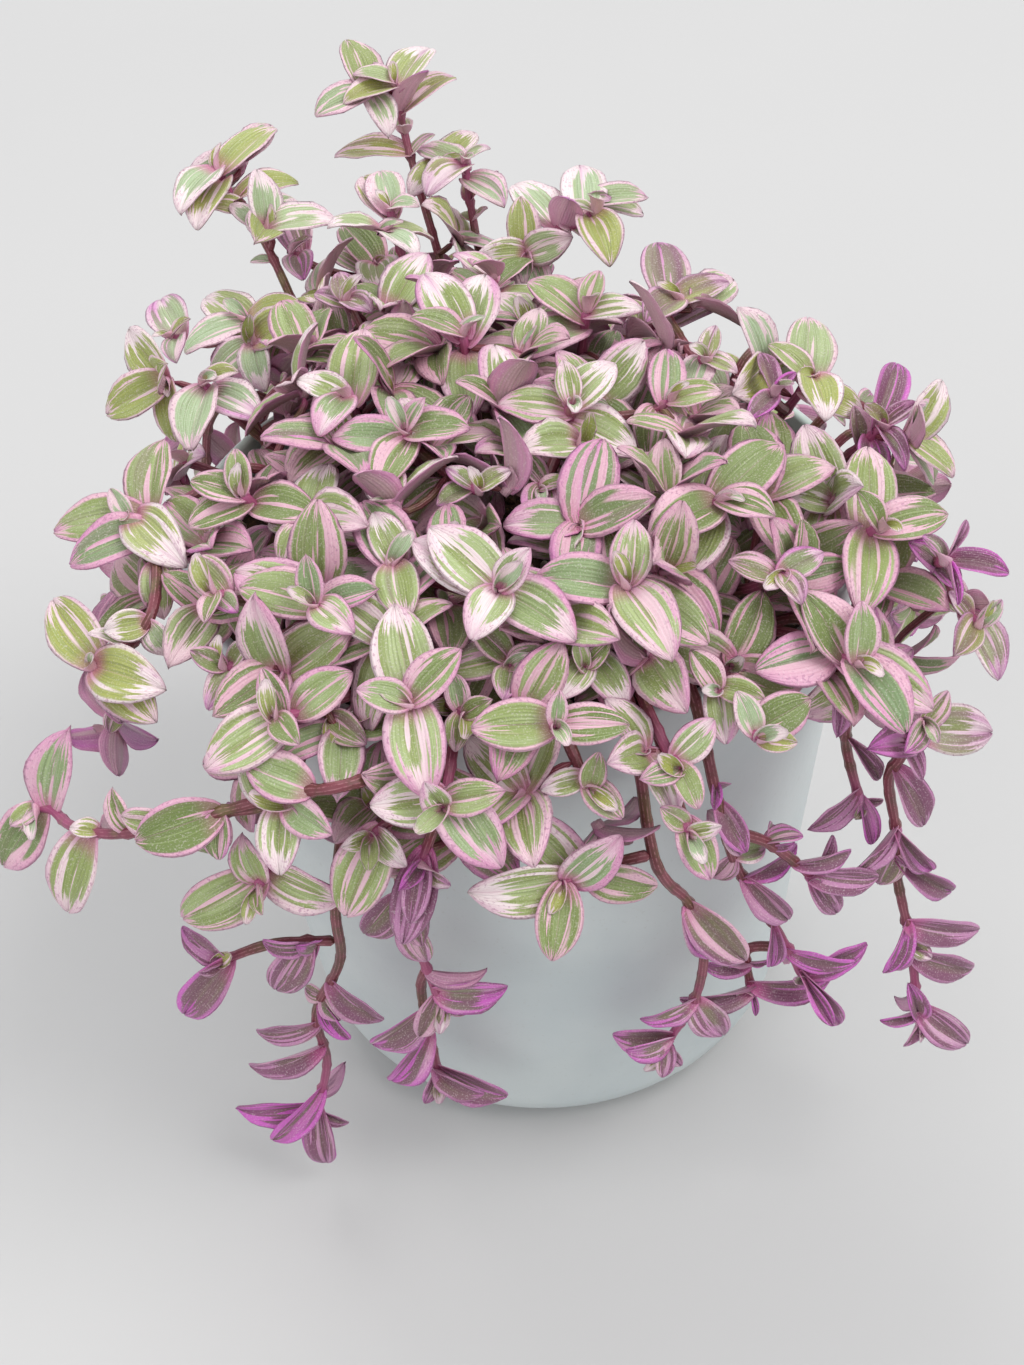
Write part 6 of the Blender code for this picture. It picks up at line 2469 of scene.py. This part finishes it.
@dataclass
class Soil:
    """The soil's piece: it fills the pot to a lumpy top with crumbs on it."""

    material: bpy.types.Material
    sizes: PotSizes = PotSizes(sides=120, corner_steps=8)
    circles: int = 44
    lump: float = 0.0016
    lumps: tuple[tuple[float, float, float], ...] = ((0.6, 120.0, 0.0), (0.4, 420.0, 7.0))
    crumbs: int = 260
    crumb: Pair = (0.0007, 0.0021)
    crumb_sides: int = 9
    crumb_rings: int = 5
    squeeze: tuple[Pair, ...] = ((0.7, 1.1), (0.7, 1.1), (0.55, 0.9))
    knobs: float = 1.3
    knobbly: float = 0.28
    pale_share: float = 0.10

    def build(self) -> None:
        """Build the soil."""
        inset = POT.wall + POT.gap
        edge = self.sizes.radius_at(POT.soil_top, inset)
        side = self.sizes.foot(inset) + [(edge, POT.soil_top - self.lump)]
        top = [(edge * (1.0 - (step + 0.5) / (self.circles + 0.5)), POT.soil_top)
               for step in range(self.circles)]
        rings = turned(side + [(edge, POT.soil_top - self.lump * 0.5)] + top, self.sizes.sides)
        for point in rings[-len(top):].reshape(-1, 3):
            point[2] += self.height(point[0], point[1])
        ends = (np.array([0.0, 0.0, inset]), np.array([0.0, 0.0, POT.soil_top]))
        skins = [Skin(rings, ends, np.linspace(0.02, 0.98, len(rings)))]
        draw = Random("crumbs")
        skins += [self.crumb_skin(edge, draw) for _ in range(self.crumbs)]
        Piece("soil_looks", [self.material], skins).make("soil", "soil")

    def height(self, x: float, y: float) -> float:
        """Find how far the soil's surface lies from level.

        Args:
            x: The place across.
            y: The place back.

        Returns:
            The height.
        """
        place = Vector((x, y, 0.0))
        return self.lump * sum(share * noise.noise(place * swells + UP * layer)
                               for share, swells, layer in self.lumps)

    def crumb_skin(self, edge: float, draw: Random) -> Skin:
        """Model a crumb half sunk in the soil's surface.

        Args:
            edge: The soil's radius.
            draw: The random numbers.

        Returns:
            The crumb's skin.
        """
        size = draw.uniform(*self.crumb)
        angle = draw.uniform(0.0, math.tau)
        out = (edge - 2.0 * size) * math.sqrt(draw.random())
        x, y = out * math.cos(angle), out * math.sin(angle)
        middle = np.array([x, y, POT.soil_top + self.height(x, y) + size * 0.25])
        leans = math.pi * (np.arange(self.crumb_rings) + 1.0) / (self.crumb_rings + 1.0)
        outline = [(size * math.sin(lean), -size * math.cos(lean)) for lean in leans]
        rings = turned(outline, self.crumb_sides)
        squeeze = np.array([draw.uniform(*limits) for limits in self.squeeze])
        for point in rings.reshape(-1, 3):
            rough = noise.noise(Vector(point / size * self.knobs) + UP * angle * 9.0)
            point *= squeeze * (1.0 + self.knobbly * rough)
        half = np.array([0.0, 0.0, size * squeeze[2]])
        seed = 1.0 if draw.random() < self.pale_share else draw.uniform(0.0, 0.6)
        ends = (middle - half, middle + half)
        return Skin(rings + middle, ends, leans / math.pi, Mood(seed=seed))


@dataclass(frozen=True)
class Lamp:
    """A square soft light that looks at the plant."""

    name: str
    place: tuple[float, float, float]
    size: float
    power: float
    colour: tuple[float, float, float] = (1.0, 0.985, 0.965)
    aim: float = 0.12

    def hang(self) -> None:
        """Hang the light."""
        light = bpy.data.lights.new(self.name, "AREA")
        light.shape = "SQUARE"
        light.size = self.size
        light.energy = self.power
        light.color = self.colour
        lamp = put_up(self.name, light)
        lamp.location = self.place
        way = UP * self.aim - Vector(self.place)
        lamp.rotation_euler = way.to_track_quat("-Z", "Y").to_euler()


@dataclass
class Studio:
    """The floor, the soft lights and the camera."""

    floor_size: float = 8.0
    lamps: tuple[Lamp, ...] = (
        Lamp("key", (3.10, -1.40, 5.00), 3.0, 175.0),
        Lamp("fill", (-3.60, -3.20, 3.20), 4.4, 62.0),
        Lamp("rear", (-1.00, 3.40, 5.20), 3.4, 95.0),
    )
    sky: Colour = shade("E4E5E7")
    sky_strength: float = 0.92
    film: float = 36.0
    height: float = 1365.0

    def build(self) -> None:
        """Set up the studio."""
        self.floor()
        for lamp in self.lamps:
            lamp.hang()
        world = bpy.data.worlds.new("soft_sky")
        world.use_nodes = True
        sky = world.node_tree.nodes["Background"]
        sky.inputs["Color"].default_value = self.sky
        sky.inputs["Strength"].default_value = self.sky_strength
        bpy.context.scene.world = world
        bpy.context.scene.view_settings.view_transform = "Standard"
        self.camera()

    def floor(self) -> None:
        """Lay the floor."""
        half = self.floor_size / 2.0
        mesh = bpy.data.meshes.new("floor")
        corners = [(-half, -half, 0.0), (half, -half, 0.0), (half, half, 0.0), (-half, half, 0.0)]
        mesh.from_pydata(corners, [], [(0, 1, 2, 3)])
        mesh.materials.append(FloorFinish().dress())
        floor = put_up("floor", mesh)

    def camera(self) -> None:
        """Set up the camera in the view that the shoots' places are read in."""
        data = bpy.data.cameras.new("camera")
        data.sensor_fit = "VERTICAL"
        data.sensor_height = self.film
        data.lens = VIEW.focus / self.height * self.film
        data.clip_start = 0.01
        camera = put_up("camera", data)
        axes = Matrix((VIEW.right, VIEW.up, -VIEW.forward)).transposed().to_4x4()
        camera.matrix_world = Matrix.Translation(VIEW.eye) @ axes
        bpy.context.scene.camera = camera


def main() -> None:
    """Build the plant, its pot, its soil and the studio, in order."""
    logging.basicConfig(level=logging.INFO, format="%(message)s")
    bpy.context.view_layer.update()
    vine = Vine()
    vine.grow()
    log.info("%d stems, %d leaves", len(vine.stems), sum(len(own) for own in vine.leaves.values()))
    greens = [LeafFinish().dress(), StemFinish().dress()]
    Pot(PotFinish().dress()).build()
    Soil(SoilFinish().dress()).build()
    Foliage(vine, greens).build()
    Undergrowth(vine, greens).build()
    Studio().build()


if __name__ == "__main__":
    main()
